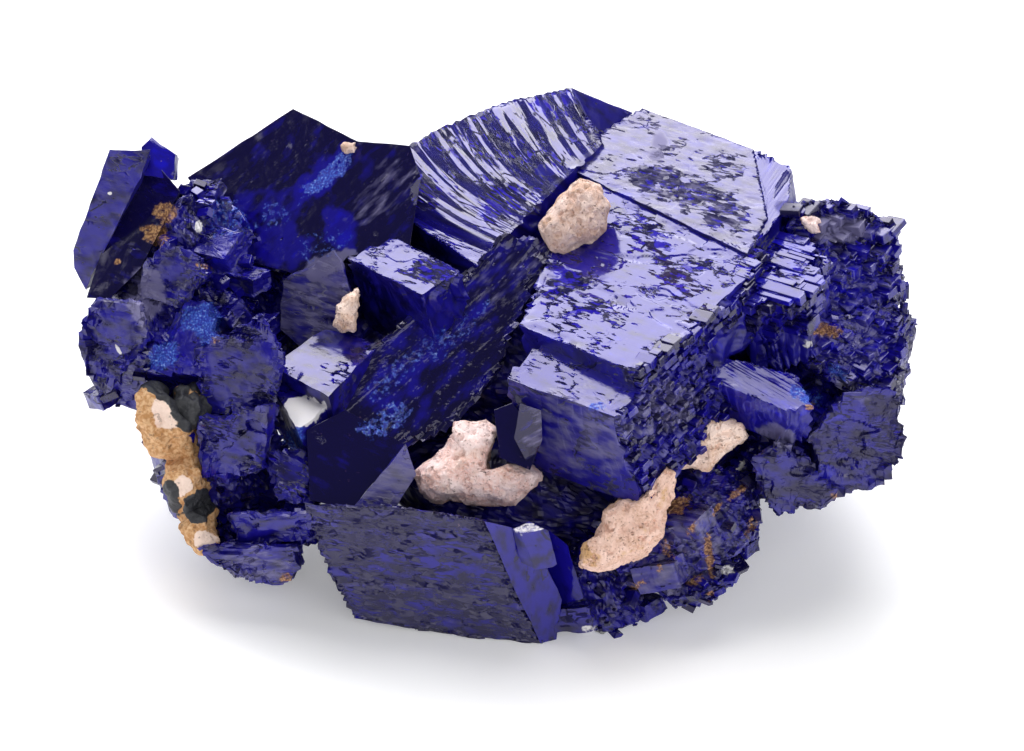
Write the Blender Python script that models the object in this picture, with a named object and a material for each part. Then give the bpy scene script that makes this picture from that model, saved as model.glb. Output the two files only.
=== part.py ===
"""Rough azurite: a cluster of intergrown crystals that holds stones of pale clay and a patch of limonite.

The outline of a crystal face is given as it is seen from the front viewpoint, in millimetres across and up
from the middle of the view. Each corner is carried back along its sight line onto the plane of the face,
and the crystal is that outline, thickened away from the viewer. Lumps are solids of many flat faces.
"""

from dataclasses import dataclass
from math import cos, pi, radians, sin, sqrt

import bmesh
import bpy
import numpy as np
from mathutils import Euler, Matrix, Vector

MM = 0.001

# Front viewpoint, in millimetres: how far it stands off, how high it looks down, and what it looks at.
VIEW_DISTANCE = 346.0
VIEW_ELEVATION = radians(33.0)
VIEW_TARGET = Vector((0.0, 0.0, 19.0))
ACROSS = Vector((1.0, 0.0, 0.0))
UPWARD = Vector((0.0, sin(VIEW_ELEVATION), cos(VIEW_ELEVATION)))
AWAY = Vector((0.0, cos(VIEW_ELEVATION), -sin(VIEW_ELEVATION)))

# Clear gap between a stone and the crystals that hold it, and the turn between one lump face and the next.
SEAT_GAP = 0.3
GOLDEN_TURN = pi * (3.0 - sqrt(5.0))

# How much smaller the back of a crystal is than the face that is seen.
BACK_NARROWING = 0.85

# The way each kind of face looks: to the right, away from the viewer, and up.
STEP_TOP = Vector((-0.21, -0.07, 0.975)).normalized()
STEP_LOW = Vector((-0.21, -0.16, 0.965)).normalized()
STEP_RIGHT = Vector((0.02, -0.25, 0.97)).normalized()
WALL_FRONT = Vector((-0.15, -0.97, -0.16)).normalized()
WALL_LEFT = Vector((-0.60, -0.79, -0.10)).normalized()
WALL_RIGHT = Vector((0.30, -0.94, -0.12)).normalized()
WALL_UP = Vector((0.15, -0.90, 0.38)).normalized()
LEAN_LEFT = Vector((-0.50, -0.81, 0.29)).normalized()
SLOPE_FRONT = Vector((0.0, -0.65, 0.76)).normalized()
SLOPE_LEFT = Vector((-0.30, -0.66, 0.69)).normalized()
SLOPE_RIGHT = Vector((0.35, -0.72, 0.60)).normalized()
DRUSE_FRONT = Vector((0.10, -0.80, 0.60)).normalized()
DRUSE_LOW = Vector((0.25, -0.92, 0.30)).normalized()
DRUSE_END = Vector((0.90, -0.43, 0.05)).normalized()

# The stepped plates share one lattice. Their levels are heights over the top of the main block, whose
# nearest corner lies at this place across, up and away.
STEP_DATUM = (9.0, -3.6, -14.3)
STEP_RUN = Vector((0.75, -0.64, 0.12))

# How far, in radians, a small crystal may tip from the lattice of the plates, and where its middle lies
# on the way from the middle of its lump to the surface.
RUBBLE_TIP = 0.35
RUBBLE_SINK = 0.93

# The ranges of a small crystal's width and height, as shares of its length.
RUBBLE_WIDTH = (0.5, 0.8)
RUBBLE_HEIGHT = (0.3, 0.6)

# On a ball of radius one: how far out the faces of a lump lie, how far in radians each may turn from its even
# place, how wide the block is that they cut, and how squarely a face must look along a ray to end it.
LUMP_REACH = 0.9
LUMP_SWAY = 0.3
LUMP_BLOCK = 4.0
LEAST_FACING = 0.1

# The specimen is trimmed level where it rests, by a block this wide, deep and high.
REST_TRIM = Vector((120.0, 120.0, 20.0))

# Points nearer than this fall together when the crystals have been joined.
MERGE_DISTANCE = 0.00001


@dataclass(frozen=True)
class Finish:
    """A plain material: its name, its colour in linear light and its roughness."""

    name: str
    colour: tuple
    roughness: float


AZURITE = Finish("azurite", (0.010, 0.008, 0.160), 0.18)
CLAY = Finish("pale_clay", (0.600, 0.430, 0.340), 0.90)
LIMONITE = Finish("limonite", (0.480, 0.230, 0.070), 0.85)


@dataclass(frozen=True)
class Crystal:
    """A crystal: the face seen from the front, its thickness behind it, and how far its back lies aside."""

    name: str
    facing: Vector
    thickness: float
    outline: tuple
    depth: float = 0.0
    level: float | None = None
    lean: tuple = (0.0, 0.0, 0.0)


@dataclass(frozen=True)
class Lump:
    """A solid of many flat faces: its middle across, up and away, its half sizes and its turn."""

    name: str
    middle: tuple
    half_size: tuple
    faces: int
    unevenness: float
    seed: int
    turn: tuple = (0.0, 0.0, 0.0)


@dataclass(frozen=True)
class Rubble:
    """Small tabular crystals that stand on a lump: their number and the range of their lengths."""

    lump: str
    count: int
    length: tuple
    seed: int


STEPPED_PLATES = (
    Crystal("main_block", STEP_LOW, 8.4,
            ((-0.8, -0.2), (9.0, -3.6), (17.2, 3.8), (7.4, 7.2)), level=0.0, lean=(0.9, -3.4, 0.0)),
    Crystal("centre_plate", STEP_TOP, 6.0,
            ((0.7, 4.5), (10.6, 0.5), (15.3, 3.5), (21.0, 8.6), (22.5, 11.5), (11.5, 17.6), (6.2, 17.9)),
            level=2.3),
    Crystal("top_plate", STEP_TOP, 9.0,
            ((5.9, 18.3), (21.2, 10.9), (22.9, 14.3), (21.6, 20.4), (11.7, 24.1), (7.9, 21.8)), level=2.6),
    Crystal("top_bevel", STEP_TOP, 6.0,
            ((21.2, 10.9), (23.9, 14.0), (25.0, 16.2), (25.0, 18.7), (21.6, 20.4), (22.9, 14.3)), level=2.4),
    Crystal("peak_plate", STEP_TOP, 9.0,
            ((-10.4, 14.8), (-3.3, 9.9), (8.2, 21.0), (5.3, 25.9), (-0.9, 24.6), (-4.3, 23.3), (-9.4, 20.7)),
            level=3.0),
    Crystal("mid_left_plate", STEP_TOP, 8.0,
            ((-14.8, 10.6), (-8.2, 7.3), (-4.7, 9.5), (-10.5, 12.4)), level=5.0),
    Crystal("low_left_plate", STEP_TOP, 6.0,
            ((-21.6, 0.9), (-16.6, -1.9), (-12.1, 2.7), (-16.4, 4.5)), level=0.4),
    Crystal("lowest_left_plate", STEP_TOP, 5.0,
            ((-21.6, -0.8), (-19.3, -4.9), (-16.4, -2.4), (-19.1, -0.4)), level=-1.2),
    Crystal("right_slats", STEP_TOP, 8.0,
            ((20.7, 14.6), (27.9, 11.3), (26.1, 7.5), (20.5, 6.6), (18.9, 10.2)), level=0.8),
    Crystal("right_step", STEP_TOP, 7.0,
            ((20.3, 8.1), (22.8, 5.5), (26.1, 7.6), (24.8, 9.5)), level=-0.8),
    Crystal("striated_plate", STEP_RIGHT, 4.5,
            ((17.3, 0.0), (24.7, -3.2), (27.0, -2.6), (25.6, 0.0), (18.9, 1.8)), level=-2.8),
    Crystal("small_right_plate", STEP_RIGHT, 5.0, ((15.6, -4.5), (19.2, -2.7), (17.0, -1.8)), level=-5.5),
)

FRONT_CRYSTALS = (
    Crystal("peak_facet", SLOPE_RIGHT, 6.0,
            ((5.3, 25.9), (6.7, 23.2), (7.9, 21.6), (10.9, 23.6)), depth=18.0),
    Crystal("front_block", WALL_FRONT, 16.0,
            ((2.6, -24.1), (0.7, -20.2), (-2.5, -13.1), (-10.5, -11.9), (-18.6, -11.7), (-16.6, -17.5),
             (-14.2, -21.8), (-5.9, -23.2)), depth=-2.2),
    Crystal("pyramid", WALL_UP, 5.0,
            ((-14.5, -12.1), (-10.3, -11.7), (-8.6, -8.9), (-9.6, -6.2)), depth=-8.0),
    Crystal("black_crystal", SLOPE_FRONT, 8.0,
            ((-18.5, -4.9), (-18.2, -11.2), (-14.5, -12.1), (-9.6, -6.2), (-15.0, -3.1)), depth=-3.5),
    Crystal("front_prism", WALL_RIGHT, 9.0,
            ((2.6, -24.1), (4.0, -23.8), (4.5, -20.2), (2.0, -14.8), (0.0, -13.7), (-2.5, -13.1),
             (0.7, -20.2)), depth=-2.2),
    Crystal("slim_prism", WALL_LEFT, 6.0,
            ((-2.6, -13.6), (0.1, -13.9), (1.8, -18.0), (2.3, -21.2), (1.2, -21.4), (-0.8, -17.0)),
            depth=-4.6),
    Crystal("capped_prism", WALL_RIGHT, 5.0,
            ((0.1, -13.9), (1.8, -14.8), (3.2, -14.0), (3.6, -17.2), (2.4, -20.0), (1.8, -18.0)),
            depth=-5.4),
    Crystal("prism_cap", STEP_TOP, 4.0, ((0.0, -13.8), (1.5, -13.1), (3.2, -13.9), (1.8, -14.7)), level=-7.0),
    Crystal("glassy_prism", WALL_LEFT, 6.0,
            ((4.5, -20.6), (6.4, -20.0), (5.0, -15.3), (3.3, -13.9), (2.0, -14.8)), depth=-3.0),
    Crystal("small_dark_crystal", SLOPE_LEFT, 9.0,
            ((-1.6, -3.1), (-1.1, -7.4), (1.6, -8.5), (2.7, -5.8), (0.0, -2.5)), depth=-8.5),
    Crystal("small_dark_side", WALL_RIGHT, 4.0,
            ((1.6, -8.5), (2.7, -5.8), (2.6, -3.2), (0.7, -2.5), (0.2, -5.6)), depth=-9.6),
    Crystal("long_blade", SLOPE_FRONT, 9.0,
            ((-0.5, 12.9), (-3.3, 9.9), (-12.6, 2.7), (-16.6, -1.8), (-18.9, -4.7), (-12.9, -7.6),
             (-9.6, -6.3), (-5.0, -4.4), (-2.0, -0.8), (1.7, 7.7), (3.7, 11.5)), depth=3.5),
)

LEFT_CRYSTALS = (
    Crystal("dark_crystal", SLOPE_LEFT, 13.0,
            ((-16.8, 8.4), (-14.8, 10.7), (-9.2, 11.5), (-8.2, 17.8), (-9.2, 20.7), (-13.9, 21.1),
             (-19.7, 24.0), (-29.2, 17.8), (-23.6, 10.2)), depth=7.0),
    Crystal("gray_crystal", LEAN_LEFT, 8.0,
            ((-19.1, 2.7), (-15.0, 3.9), (-14.4, 7.7), (-15.9, 11.3), (-20.7, 8.4), (-20.9, 4.1)), depth=6.0),
    Crystal("left_blade", LEAN_LEFT, 7.0,
            ((-38.4, 7.7), (-36.2, 12.3), (-33.4, 17.9), (-32.6, 20.3), (-36.2, 20.3), (-37.8, 15.8),
             (-39.5, 11.3), (-39.4, 9.7)), depth=6.0),
    Crystal("ridge_by_blade", SLOPE_LEFT, 7.0,
            ((-38.3, 7.0), (-36.5, 12.6), (-33.6, 18.4), (-31.6, 18.6), (-29.9, 16.6), (-33.4, 9.7),
             (-36.2, 6.9)), depth=3.6),
    Crystal("blue_tip", SLOPE_FRONT, 6.0,
            ((-33.2, 18.0), (-30.5, 17.6), (-30.2, 19.9), (-32.4, 21.4), (-33.3, 20.5)), depth=4.0),
    Crystal("left_facet_upper", LEAN_LEFT, 6.0,
            ((-33.6, 6.9), (-30.0, 6.4), (-27.4, 9.2), (-28.4, 10.9), (-31.4, 12.0), (-33.4, 9.8)),
            depth=2.4),
    Crystal("left_facet_outer", LEAN_LEFT, 6.0,
            ((-38.7, 1.2), (-36.8, -1.7), (-33.0, 3.4), (-33.4, 6.6), (-37.2, 6.8), (-38.6, 4.4)), depth=1.6),
    Crystal("left_blue_slope", SLOPE_LEFT, 6.0,
            ((-32.8, 0.2), (-28.2, 0.0), (-26.8, 2.6), (-27.2, 6.3), (-29.2, 6.9)), depth=0.4),
    Crystal("left_upper_face", LEAN_LEFT, 7.0,
            ((-28.1, -3.6), (-21.5, -2.7), (-20.5, 1.4), (-22.5, 5.2), (-28.5, 2.7)), depth=0.0),
    Crystal("left_mid_face", LEAN_LEFT, 7.0,
            ((-27.6, -9.4), (-22.5, -8.5), (-21.3, -2.6), (-28.3, -4.0)), depth=-1.0),
    Crystal("link_crystal", SLOPE_FRONT, 5.0,
            ((-22.0, -6.9), (-19.9, -6.7), (-18.4, -7.2), (-17.6, -9.2), (-17.6, -11.7),
             (-20.9, -11.2), (-22.0, -8.5)), depth=-3.0),
    Crystal("striped_chip", STEP_TOP, 4.0,
            ((-20.5, -10.9), (-18.4, -10.2), (-18.5, -12.3), (-20.8, -12.5)), level=-6.8),
    Crystal("left_low_face", WALL_FRONT, 7.0,
            ((-24.5, -15.7), (-17.9, -14.4), (-17.9, -12.2), (-25.6, -12.7)), depth=-2.0),
    Crystal("left_foot", WALL_FRONT, 8.0,
            ((-22.3, -18.7), (-20.9, -18.7), (-19.1, -17.1), (-19.3, -15.3), (-28.1, -15.5), (-26.5, -17.3)),
            depth=-1.0),
)

RIGHT_CRYSTALS = (
    Crystal("druse_top", STEP_TOP, 4.0,
            ((27.9, 14.7), (30.1, 15.3), (33.8, 13.8), (32.2, 12.1), (28.3, 12.3)), level=-1.4),
    Crystal("druse_upper", DRUSE_FRONT, 11.0,
            ((34.3, 13.8), (34.5, 10.2), (34.6, 6.6), (32.2, 5.0), (28.3, 4.6), (25.9, 6.6),
             (24.8, 10.2), (25.2, 15.3), (26.2, 15.8), (28.0, 15.6), (29.7, 15.7), (31.5, 15.0)),
            depth=0.5),
    Crystal("druse_upper_end", DRUSE_END, 6.0,
            ((34.3, 13.8), (34.8, 12.1), (35.2, 8.5), (35.3, 6.5), (34.6, 6.6), (34.5, 10.2)), depth=0.5),
    Crystal("druse_middle", DRUSE_FRONT, 10.0,
            ((35.4, 4.5), (35.1, 2.1), (34.3, -2.0), (31.3, -2.2), (27.7, 0.3), (25.2, 2.8),
             (27.0, 5.0), (30.4, 5.4), (34.5, 6.5)), depth=-1.5),
    Crystal("druse_middle_end", DRUSE_END, 6.0,
            ((35.4, 4.5), (35.3, 6.4), (36.4, 4.7), (36.0, 3.2), (35.5, -0.2), (34.9, -2.6),
             (34.3, -2.0), (35.1, 2.1)), depth=-1.5),
    Crystal("druse_lower", DRUSE_LOW, 10.0,
            ((35.1, -7.2), (33.8, -9.0), (31.7, -10.2), (29.3, -10.7), (27.5, -9.2), (26.6, -5.4),
             (30.0, -1.5), (34.0, -0.9), (34.8, -2.6), (34.6, -3.7), (35.2, -5.0)), depth=-3.5),
    Crystal("druse_foot", DRUSE_LOW, 7.0,
            ((29.3, -10.7), (27.9, -11.8), (26.2, -11.5), (25.4, -12.3), (24.0, -12.5), (22.8, -11.0),
             (21.6, -7.8), (23.8, -5.8), (26.1, -6.9), (27.5, -9.2)), depth=-5.5),
)

CRYSTALS = STEPPED_PLATES + FRONT_CRYSTALS + LEFT_CRYSTALS + RIGHT_CRYSTALS

AZURITE_LUMPS = (
    Lump("core", (0.0, 0.5, 14.0), (24.0, 13.0, 12.5), 26, 0.12, 1),
    Lump("left_rubble_upper", (-28.6, 11.5, 9.0), (5.8, 6.5, 7.2), 22, 0.15, 2),
    Lump("left_rubble_middle", (-30.5, 3.5, 8.0), (8.5, 8.0, 8.0), 22, 0.15, 3),
    Lump("left_rubble_lower", (-26.5, -7.0, 6.0), (6.0, 7.0, 7.5), 22, 0.15, 4),
    Lump("left_foot_lump", (-23.5, -14.0, 5.0), (5.0, 6.0, 3.5), 22, 0.12, 14),
    Lump("right_druse_upper", (28.2, 8.2, 8.5), (6.2, 8.0, 7.4), 26, 0.12, 5),
    Lump("right_druse_middle", (28.4, 1.0, 7.0), (6.4, 8.6, 7.4), 26, 0.12, 6),
    Lump("right_druse_lower", (25.8, -4.6, 4.0), (7.8, 7.6, 5.4), 26, 0.12, 7),
    Lump("front_right_band", (14.8, -13.0, -1.0), (9.0, 7.5, 5.6), 26, 0.14, 8, (0.0, -0.35, 0.0)),
    Lump("front_right_foot", (8.0, -18.0, 1.0), (5.2, 6.0, 5.2), 22, 0.14, 9),
    Lump("front_right_toe", (16.6, -17.2, -1.0), (4.4, 5.0, 3.2), 22, 0.12, 15, (0.0, -0.3, 0.0)),
    Lump("right_bridge", (17.5, -4.0, 3.5), (6.5, 7.0, 5.5), 22, 0.12, 16),
    Lump("middle_floor", (2.0, -9.0, 6.0), (16.0, 10.0, 6.0), 22, 0.10, 10),
    Lump("back_left", (-17.0, 6.0, 20.0), (14.0, 9.0, 10.0), 26, 0.14, 11),
    Lump("back_right", (14.0, 7.0, 18.0), (15.0, 10.0, 10.0), 26, 0.14, 12),
    Lump("back_foot", (1.0, -3.0, 26.0), (11.0, 8.0, 6.5), 22, 0.12, 13),
)

# Small tabular crystals crowd the lumps: how many there are on each, and the range of their lengths.
RUBBLE = (
    Rubble("left_rubble_upper", 9, (3.0, 5.5), 51),
    Rubble("left_rubble_middle", 12, (3.0, 6.0), 52),
    Rubble("left_rubble_lower", 9, (2.5, 4.5), 53),
    Rubble("left_foot_lump", 6, (2.5, 4.0), 54),
    Rubble("right_druse_upper", 10, (2.5, 4.5), 55),
    Rubble("right_druse_middle", 10, (2.0, 4.0), 56),
    Rubble("right_druse_lower", 10, (2.0, 4.0), 57),
    Rubble("front_right_band", 12, (2.5, 4.5), 58),
    Rubble("front_right_foot", 8, (2.5, 4.0), 59),
    Rubble("back_left", 14, (5.0, 9.0), 60),
    Rubble("back_right", 16, (5.0, 9.0), 61),
    Rubble("back_foot", 8, (4.0, 7.0), 62),
)

# Stones of pale clay: four worn ones, then three chips.
STONES = (
    Lump("clay_stone_pink", (-3.3, -8.0, -5.0), (6.0, 4.6, 4.0), 34, 0.10, 31, (0.0, 0.15, 0.0)),
    Lump("clay_stone_front", (10.2, -12.8, -9.5), (6.2, 3.0, 2.7), 34, 0.10, 32, (0.0, -0.85, 0.0)),
    Lump("clay_stone_oval", (5.6, 14.2, 3.4), (3.9, 2.9, 3.0), 34, 0.06, 33, (0.0, -0.6, 0.0)),
    Lump("clay_stone_right", (18.4, -6.0, -6.0), (3.5, 2.6, 2.2), 30, 0.10, 34, (0.0, -0.45, 0.0)),
    Lump("clay_chip_left", (-14.9, 5.8, 1.9), (1.4, 1.6, 2.4), 24, 0.12, 35, (0.0, 0.25, 0.0)),
    Lump("clay_chip_upper", (-14.7, 20.4, 9.0), (1.0, 1.0, 0.8), 20, 0.10, 36),
    Lump("clay_chip_right", (26.9, 13.6, -0.4), (1.2, 1.2, 1.0), 20, 0.12, 37),
)

LIMONITE_LUMPS = (
    Lump("limonite_upper", (-31.0, -4.6, 0.5), (2.3, 3.2, 4.2), 24, 0.12, 41, (0.0, -0.42, 0.0)),
    Lump("limonite_middle", (-29.3, -9.8, 0.5), (2.4, 3.2, 2.6), 24, 0.12, 42, (0.0, -0.2, 0.0)),
    Lump("limonite_lower", (-28.1, -13.6, 0.5), (1.7, 2.8, 2.6), 24, 0.12, 43, (0.0, -0.25, 0.0)),
    Lump("limonite_knob", (-28.9, -2.9, 0.0), (2.2, 2.2, 2.1), 24, 0.08, 44),
)


def sight_point(across: float, up: float, away: float) -> Vector:
    """A point seen at (across, up) that lies the given distance past the middle of the view."""
    spread = 1.0 + away / VIEW_DISTANCE
    return VIEW_TARGET + away * AWAY + spread * (across * ACROSS + up * UPWARD)


def on_plane(across: float, up: float, facing: Vector, anchor: Vector) -> Vector:
    """Where the sight line of (across, up) meets the plane through anchor that looks along facing."""
    seen = across * ACROSS + up * UPWARD
    reach = facing.dot(anchor - VIEW_TARGET - seen)
    away = reach / (facing.dot(AWAY) + facing.dot(seen) / VIEW_DISTANCE)
    return sight_point(across, up, away)


def crystal_corners(crystal: Crystal) -> list:
    """The corners of the seen face, in millimetres."""
    if crystal.level is None:
        anchor = sight_point(*crystal.outline[0], crystal.depth)
    else:
        anchor = sight_point(*STEP_DATUM) + crystal.level * crystal.facing
    return [on_plane(across, up, crystal.facing, anchor) for across, up in crystal.outline]


def mesh_object(name: str, mesh: bmesh.types.BMesh) -> bpy.types.Object:
    """An object of the given mesh, with its faces pointing out."""
    bmesh.ops.recalc_face_normals(mesh, faces=mesh.faces)
    data = bpy.data.meshes.new(name)
    mesh.to_mesh(data)
    mesh.free()
    piece = bpy.data.objects.new(name, data)
    bpy.context.scene.collection.objects.link(piece)
    return piece


def crystal_object(crystal: Crystal) -> bpy.types.Object:
    """The seen face, and its outline again behind it, joined by side faces.

    A stepped plate goes straight down its lattice. Any other crystal runs back from the viewer and narrows.
    A crystal that leans has slanting sides.
    """
    front = crystal_corners(crystal)
    middle = sum(front, Vector()) / len(front)
    stepped = crystal.level is not None
    shift = crystal.thickness * (-crystal.facing if stepped else AWAY) + Vector(crystal.lean)
    narrowing = 1.0 if stepped else BACK_NARROWING
    back = [middle + narrowing * (corner - middle) + shift for corner in front]
    mesh = bmesh.new()
    front_ring = [mesh.verts.new(corner * MM) for corner in front]
    back_ring = [mesh.verts.new(corner * MM) for corner in back]
    mesh.faces.new(front_ring)
    mesh.faces.new(list(reversed(back_ring)))
    for index in range(len(front)):
        after = (index + 1) % len(front)
        mesh.faces.new((front_ring[index], back_ring[index], back_ring[after], front_ring[after]))
    return mesh_object(crystal.name, mesh)


def lump_planes(lump: Lump) -> list:
    """The outward directions and distances of a lump's faces, on a ball of radius one."""
    chance = np.random.default_rng(lump.seed)
    planes = []
    for index in range(lump.faces):
        height = 1.0 - 2.0 * (index + 0.5) / lump.faces
        ring = sqrt(1.0 - height * height)
        angle = index * GOLDEN_TURN + chance.uniform(-LUMP_SWAY, LUMP_SWAY)
        direction = Vector((ring * cos(angle), ring * sin(angle), height))
        planes.append((direction, LUMP_REACH + chance.uniform(-lump.unevenness, lump.unevenness)))
    return planes


def lump_object(lump: Lump, grown: float = 0.0) -> bpy.types.Object:
    """A block cut by every plane of the lump, stretched to its half sizes, turned and put in place."""
    mesh = bmesh.new()
    bmesh.ops.create_cube(mesh, size=LUMP_BLOCK)
    for direction, distance in lump_planes(lump):
        everything = list(mesh.verts) + list(mesh.edges) + list(mesh.faces)
        cut = bmesh.ops.bisect_plane(
            mesh, geom=everything, plane_co=direction * distance, plane_no=direction, clear_outer=True
        )
        rim = [part for part in cut["geom_cut"] if isinstance(part, bmesh.types.BMEdge)]
        if rim:
            bmesh.ops.contextual_create(mesh, geom=rim)
    stretch = Matrix.Diagonal((*(half + grown for half in lump.half_size), 1.0))
    bmesh.ops.transform(mesh, matrix=Matrix.Scale(MM, 4) @ lump_frame(lump) @ stretch, verts=mesh.verts)
    return mesh_object(lump.name, mesh)


def lump_frame(lump: Lump) -> Matrix:
    """The place and turn of a lump, in millimetres."""
    turn = Matrix.Rotation(lump.turn[2], 4, "Z") @ Matrix.Rotation(lump.turn[1], 4, "Y")
    return Matrix.Translation(sight_point(*lump.middle)) @ turn @ Matrix.Rotation(lump.turn[0], 4, "X")


def lattice_frame(chance: np.random.Generator) -> Matrix:
    """The lattice of the stepped plates, loosely followed by a small crystal."""
    along = (STEP_RUN - STEP_RUN.dot(STEP_TOP) * STEP_TOP).normalized()
    across = STEP_TOP.cross(along)
    lattice = Matrix((along, across, STEP_TOP)).transposed()
    tip = Euler(chance.uniform(-RUBBLE_TIP, RUBBLE_TIP, 3).tolist())
    return (lattice @ tip.to_matrix()).to_4x4()


def rubble_objects(rubble: Rubble) -> list:
    """Tabular crystals spread over a lump by turns of the golden angle, each half sunk into it."""
    lump = next(each for each in AZURITE_LUMPS if each.name == rubble.lump)
    chance = np.random.default_rng(rubble.seed)
    planes = lump_planes(lump)
    frame = lump_frame(lump)
    pieces = []
    for index in range(rubble.count):
        height = 1.0 - 2.0 * (index + 0.5) / rubble.count
        angle = index * GOLDEN_TURN + chance.uniform(0.0, 1.0)
        ring = sqrt(1.0 - height * height)
        direction = Vector((ring * cos(angle), ring * sin(angle), height))
        reach = min(far / face.dot(direction) for face, far in planes if face.dot(direction) > LEAST_FACING)
        sunk = RUBBLE_SINK * reach
        spot = frame @ Vector(sunk * direction[axis] * lump.half_size[axis] for axis in range(3))
        length = chance.uniform(*rubble.length)
        size = length * Vector((1.0, chance.uniform(*RUBBLE_WIDTH), chance.uniform(*RUBBLE_HEIGHT)))
        mesh = bmesh.new()
        bmesh.ops.create_cube(mesh, size=1.0)
        place = Matrix.Translation(spot) @ lattice_frame(chance) @ Matrix.Diagonal((*size, 1.0))
        bmesh.ops.transform(mesh, matrix=Matrix.Scale(MM, 4) @ place, verts=mesh.verts)
        pieces.append(mesh_object(f"{rubble.lump}_crystal_{index}", mesh))
    return pieces


def azurite_pieces() -> list:
    """Every crystal and lump that grows into the one azurite solid."""
    pieces = [crystal_object(crystal) for crystal in CRYSTALS]
    pieces += [lump_object(lump) for lump in AZURITE_LUMPS]
    for rubble in RUBBLE:
        pieces += rubble_objects(rubble)
    return pieces


def combined(base: bpy.types.Object, others: list, operation: str) -> bpy.types.Object:
    """The base joined with, or cut by, all the others, which are used up."""
    group = bpy.data.collections.new("operands")
    for other in others:
        group.objects.link(other)
    boolean = base.modifiers.new("combine", "BOOLEAN")
    boolean.operation = operation
    boolean.solver = "EXACT"
    boolean.operand_type = "COLLECTION"
    boolean.collection = group
    depsgraph = bpy.context.evaluated_depsgraph_get()
    result = bpy.data.meshes.new_from_object(base.evaluated_get(depsgraph))
    base.modifiers.remove(boolean)
    base.data = result
    for other in others:
        bpy.data.objects.remove(other, do_unlink=True)
    bpy.data.collections.remove(group)
    return base


def connected_bodies(mesh: bmesh.types.BMesh) -> list:
    """The separate bodies of a mesh, each as a set of its points."""
    bodies = []
    left = set(mesh.verts)
    while left:
        edge_of_growth = [left.pop()]
        body = set(edge_of_growth)
        while edge_of_growth:
            point = edge_of_growth.pop()
            for edge in point.link_edges:
                other = edge.other_vert(point)
                if other in left:
                    left.remove(other)
                    body.add(other)
                    edge_of_growth.append(other)
        bodies.append(body)
    return bodies


def tidy(piece: bpy.types.Object) -> None:
    """Let points that almost touch fall together, and drop the splinters that a seat has cut loose."""
    mesh = bmesh.new()
    mesh.from_mesh(piece.data)
    bmesh.ops.remove_doubles(mesh, verts=mesh.verts, dist=MERGE_DISTANCE)
    bmesh.ops.dissolve_degenerate(mesh, edges=mesh.edges, dist=MERGE_DISTANCE)
    bodies = sorted(connected_bodies(mesh), key=len)
    for splinter in bodies[:-1]:
        bmesh.ops.delete(mesh, geom=list(splinter), context="VERTS")
    mesh.to_mesh(piece.data)
    mesh.free()


def rest_block() -> bpy.types.Object:
    """The block below the level on which the specimen rests."""
    mesh = bmesh.new()
    bmesh.ops.create_cube(mesh, size=1.0)
    below = Matrix.Translation((0.0, 0.0, -REST_TRIM.z / 2))
    stretch = Matrix.Diagonal((*REST_TRIM, 1.0))
    bmesh.ops.transform(mesh, matrix=Matrix.Scale(MM, 4) @ below @ stretch, verts=mesh.verts)
    return mesh_object("rest_block", mesh)


def azurite_cluster() -> bpy.types.Object:
    """All the crystals as one solid, with a seat cut for every stone."""
    first, *others = azurite_pieces()
    cluster = combined(first, others, "UNION")
    cluster.name = "azurite_cluster"
    seats = [lump_object(stone, SEAT_GAP) for stone in STONES + LIMONITE_LUMPS]
    combined(cluster, seats + [rest_block()], "DIFFERENCE")
    tidy(cluster)
    return cluster


def limonite_matrix() -> bpy.types.Object:
    """The iron-stained matrix: its rounded parts as one solid."""
    first, *others = [lump_object(part) for part in LIMONITE_LUMPS]
    matrix = combined(first, others, "UNION")
    matrix.name = "limonite_matrix"
    tidy(matrix)
    return matrix


def dress(piece: bpy.types.Object, finish: Finish) -> None:
    """Give a piece its material."""
    material = bpy.data.materials.get(finish.name) or bpy.data.materials.new(finish.name)
    material.use_nodes = True
    shader = material.node_tree.nodes["Principled BSDF"]
    shader.inputs["Base Color"].default_value = (*finish.colour, 1.0)
    shader.inputs["Roughness"].default_value = finish.roughness
    shader.inputs["Metallic"].default_value = 0.0
    piece.data.materials.clear()
    piece.data.materials.append(material)


def stand_at_origin(pieces: list) -> None:
    """Bring the middle of the whole specimen's box over the origin. Its foot is at height zero already."""
    corners = [piece.matrix_world @ Vector(corner) for piece in pieces for corner in piece.bound_box]
    lowest = Vector(min(corner[axis] for corner in corners) for axis in range(3))
    highest = Vector(max(corner[axis] for corner in corners) for axis in range(3))
    middle = (lowest + highest) / 2
    for piece in pieces:
        piece.data.transform(Matrix.Translation((-middle.x, -middle.y, 0.0)))


def main() -> None:
    """Clear the scene and build the specimen."""
    for old in list(bpy.data.objects):
        bpy.data.objects.remove(old, do_unlink=True)
    cluster = azurite_cluster()
    stones = [lump_object(stone) for stone in STONES]
    matrix = limonite_matrix()
    dress(cluster, AZURITE)
    for stone in stones:
        dress(stone, CLAY)
    dress(matrix, LIMONITE)
    stand_at_origin([cluster, matrix, *stones])


if __name__ == "__main__":
    main()
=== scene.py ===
"""Looks of the rough azurite: etched crystals, worn clay stones, iron-stained matrix and a soft studio.

Lengths are millimetres until a mesh is made. The specimen is laid out as it is seen from the front viewpoint,
so most outlines are pairs of (across, up) from the middle of that view.
"""

import logging
from abc import ABC, abstractmethod
from dataclasses import dataclass, field, replace
from enum import Enum
from math import cos, pi, radians, sin, sqrt

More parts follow.
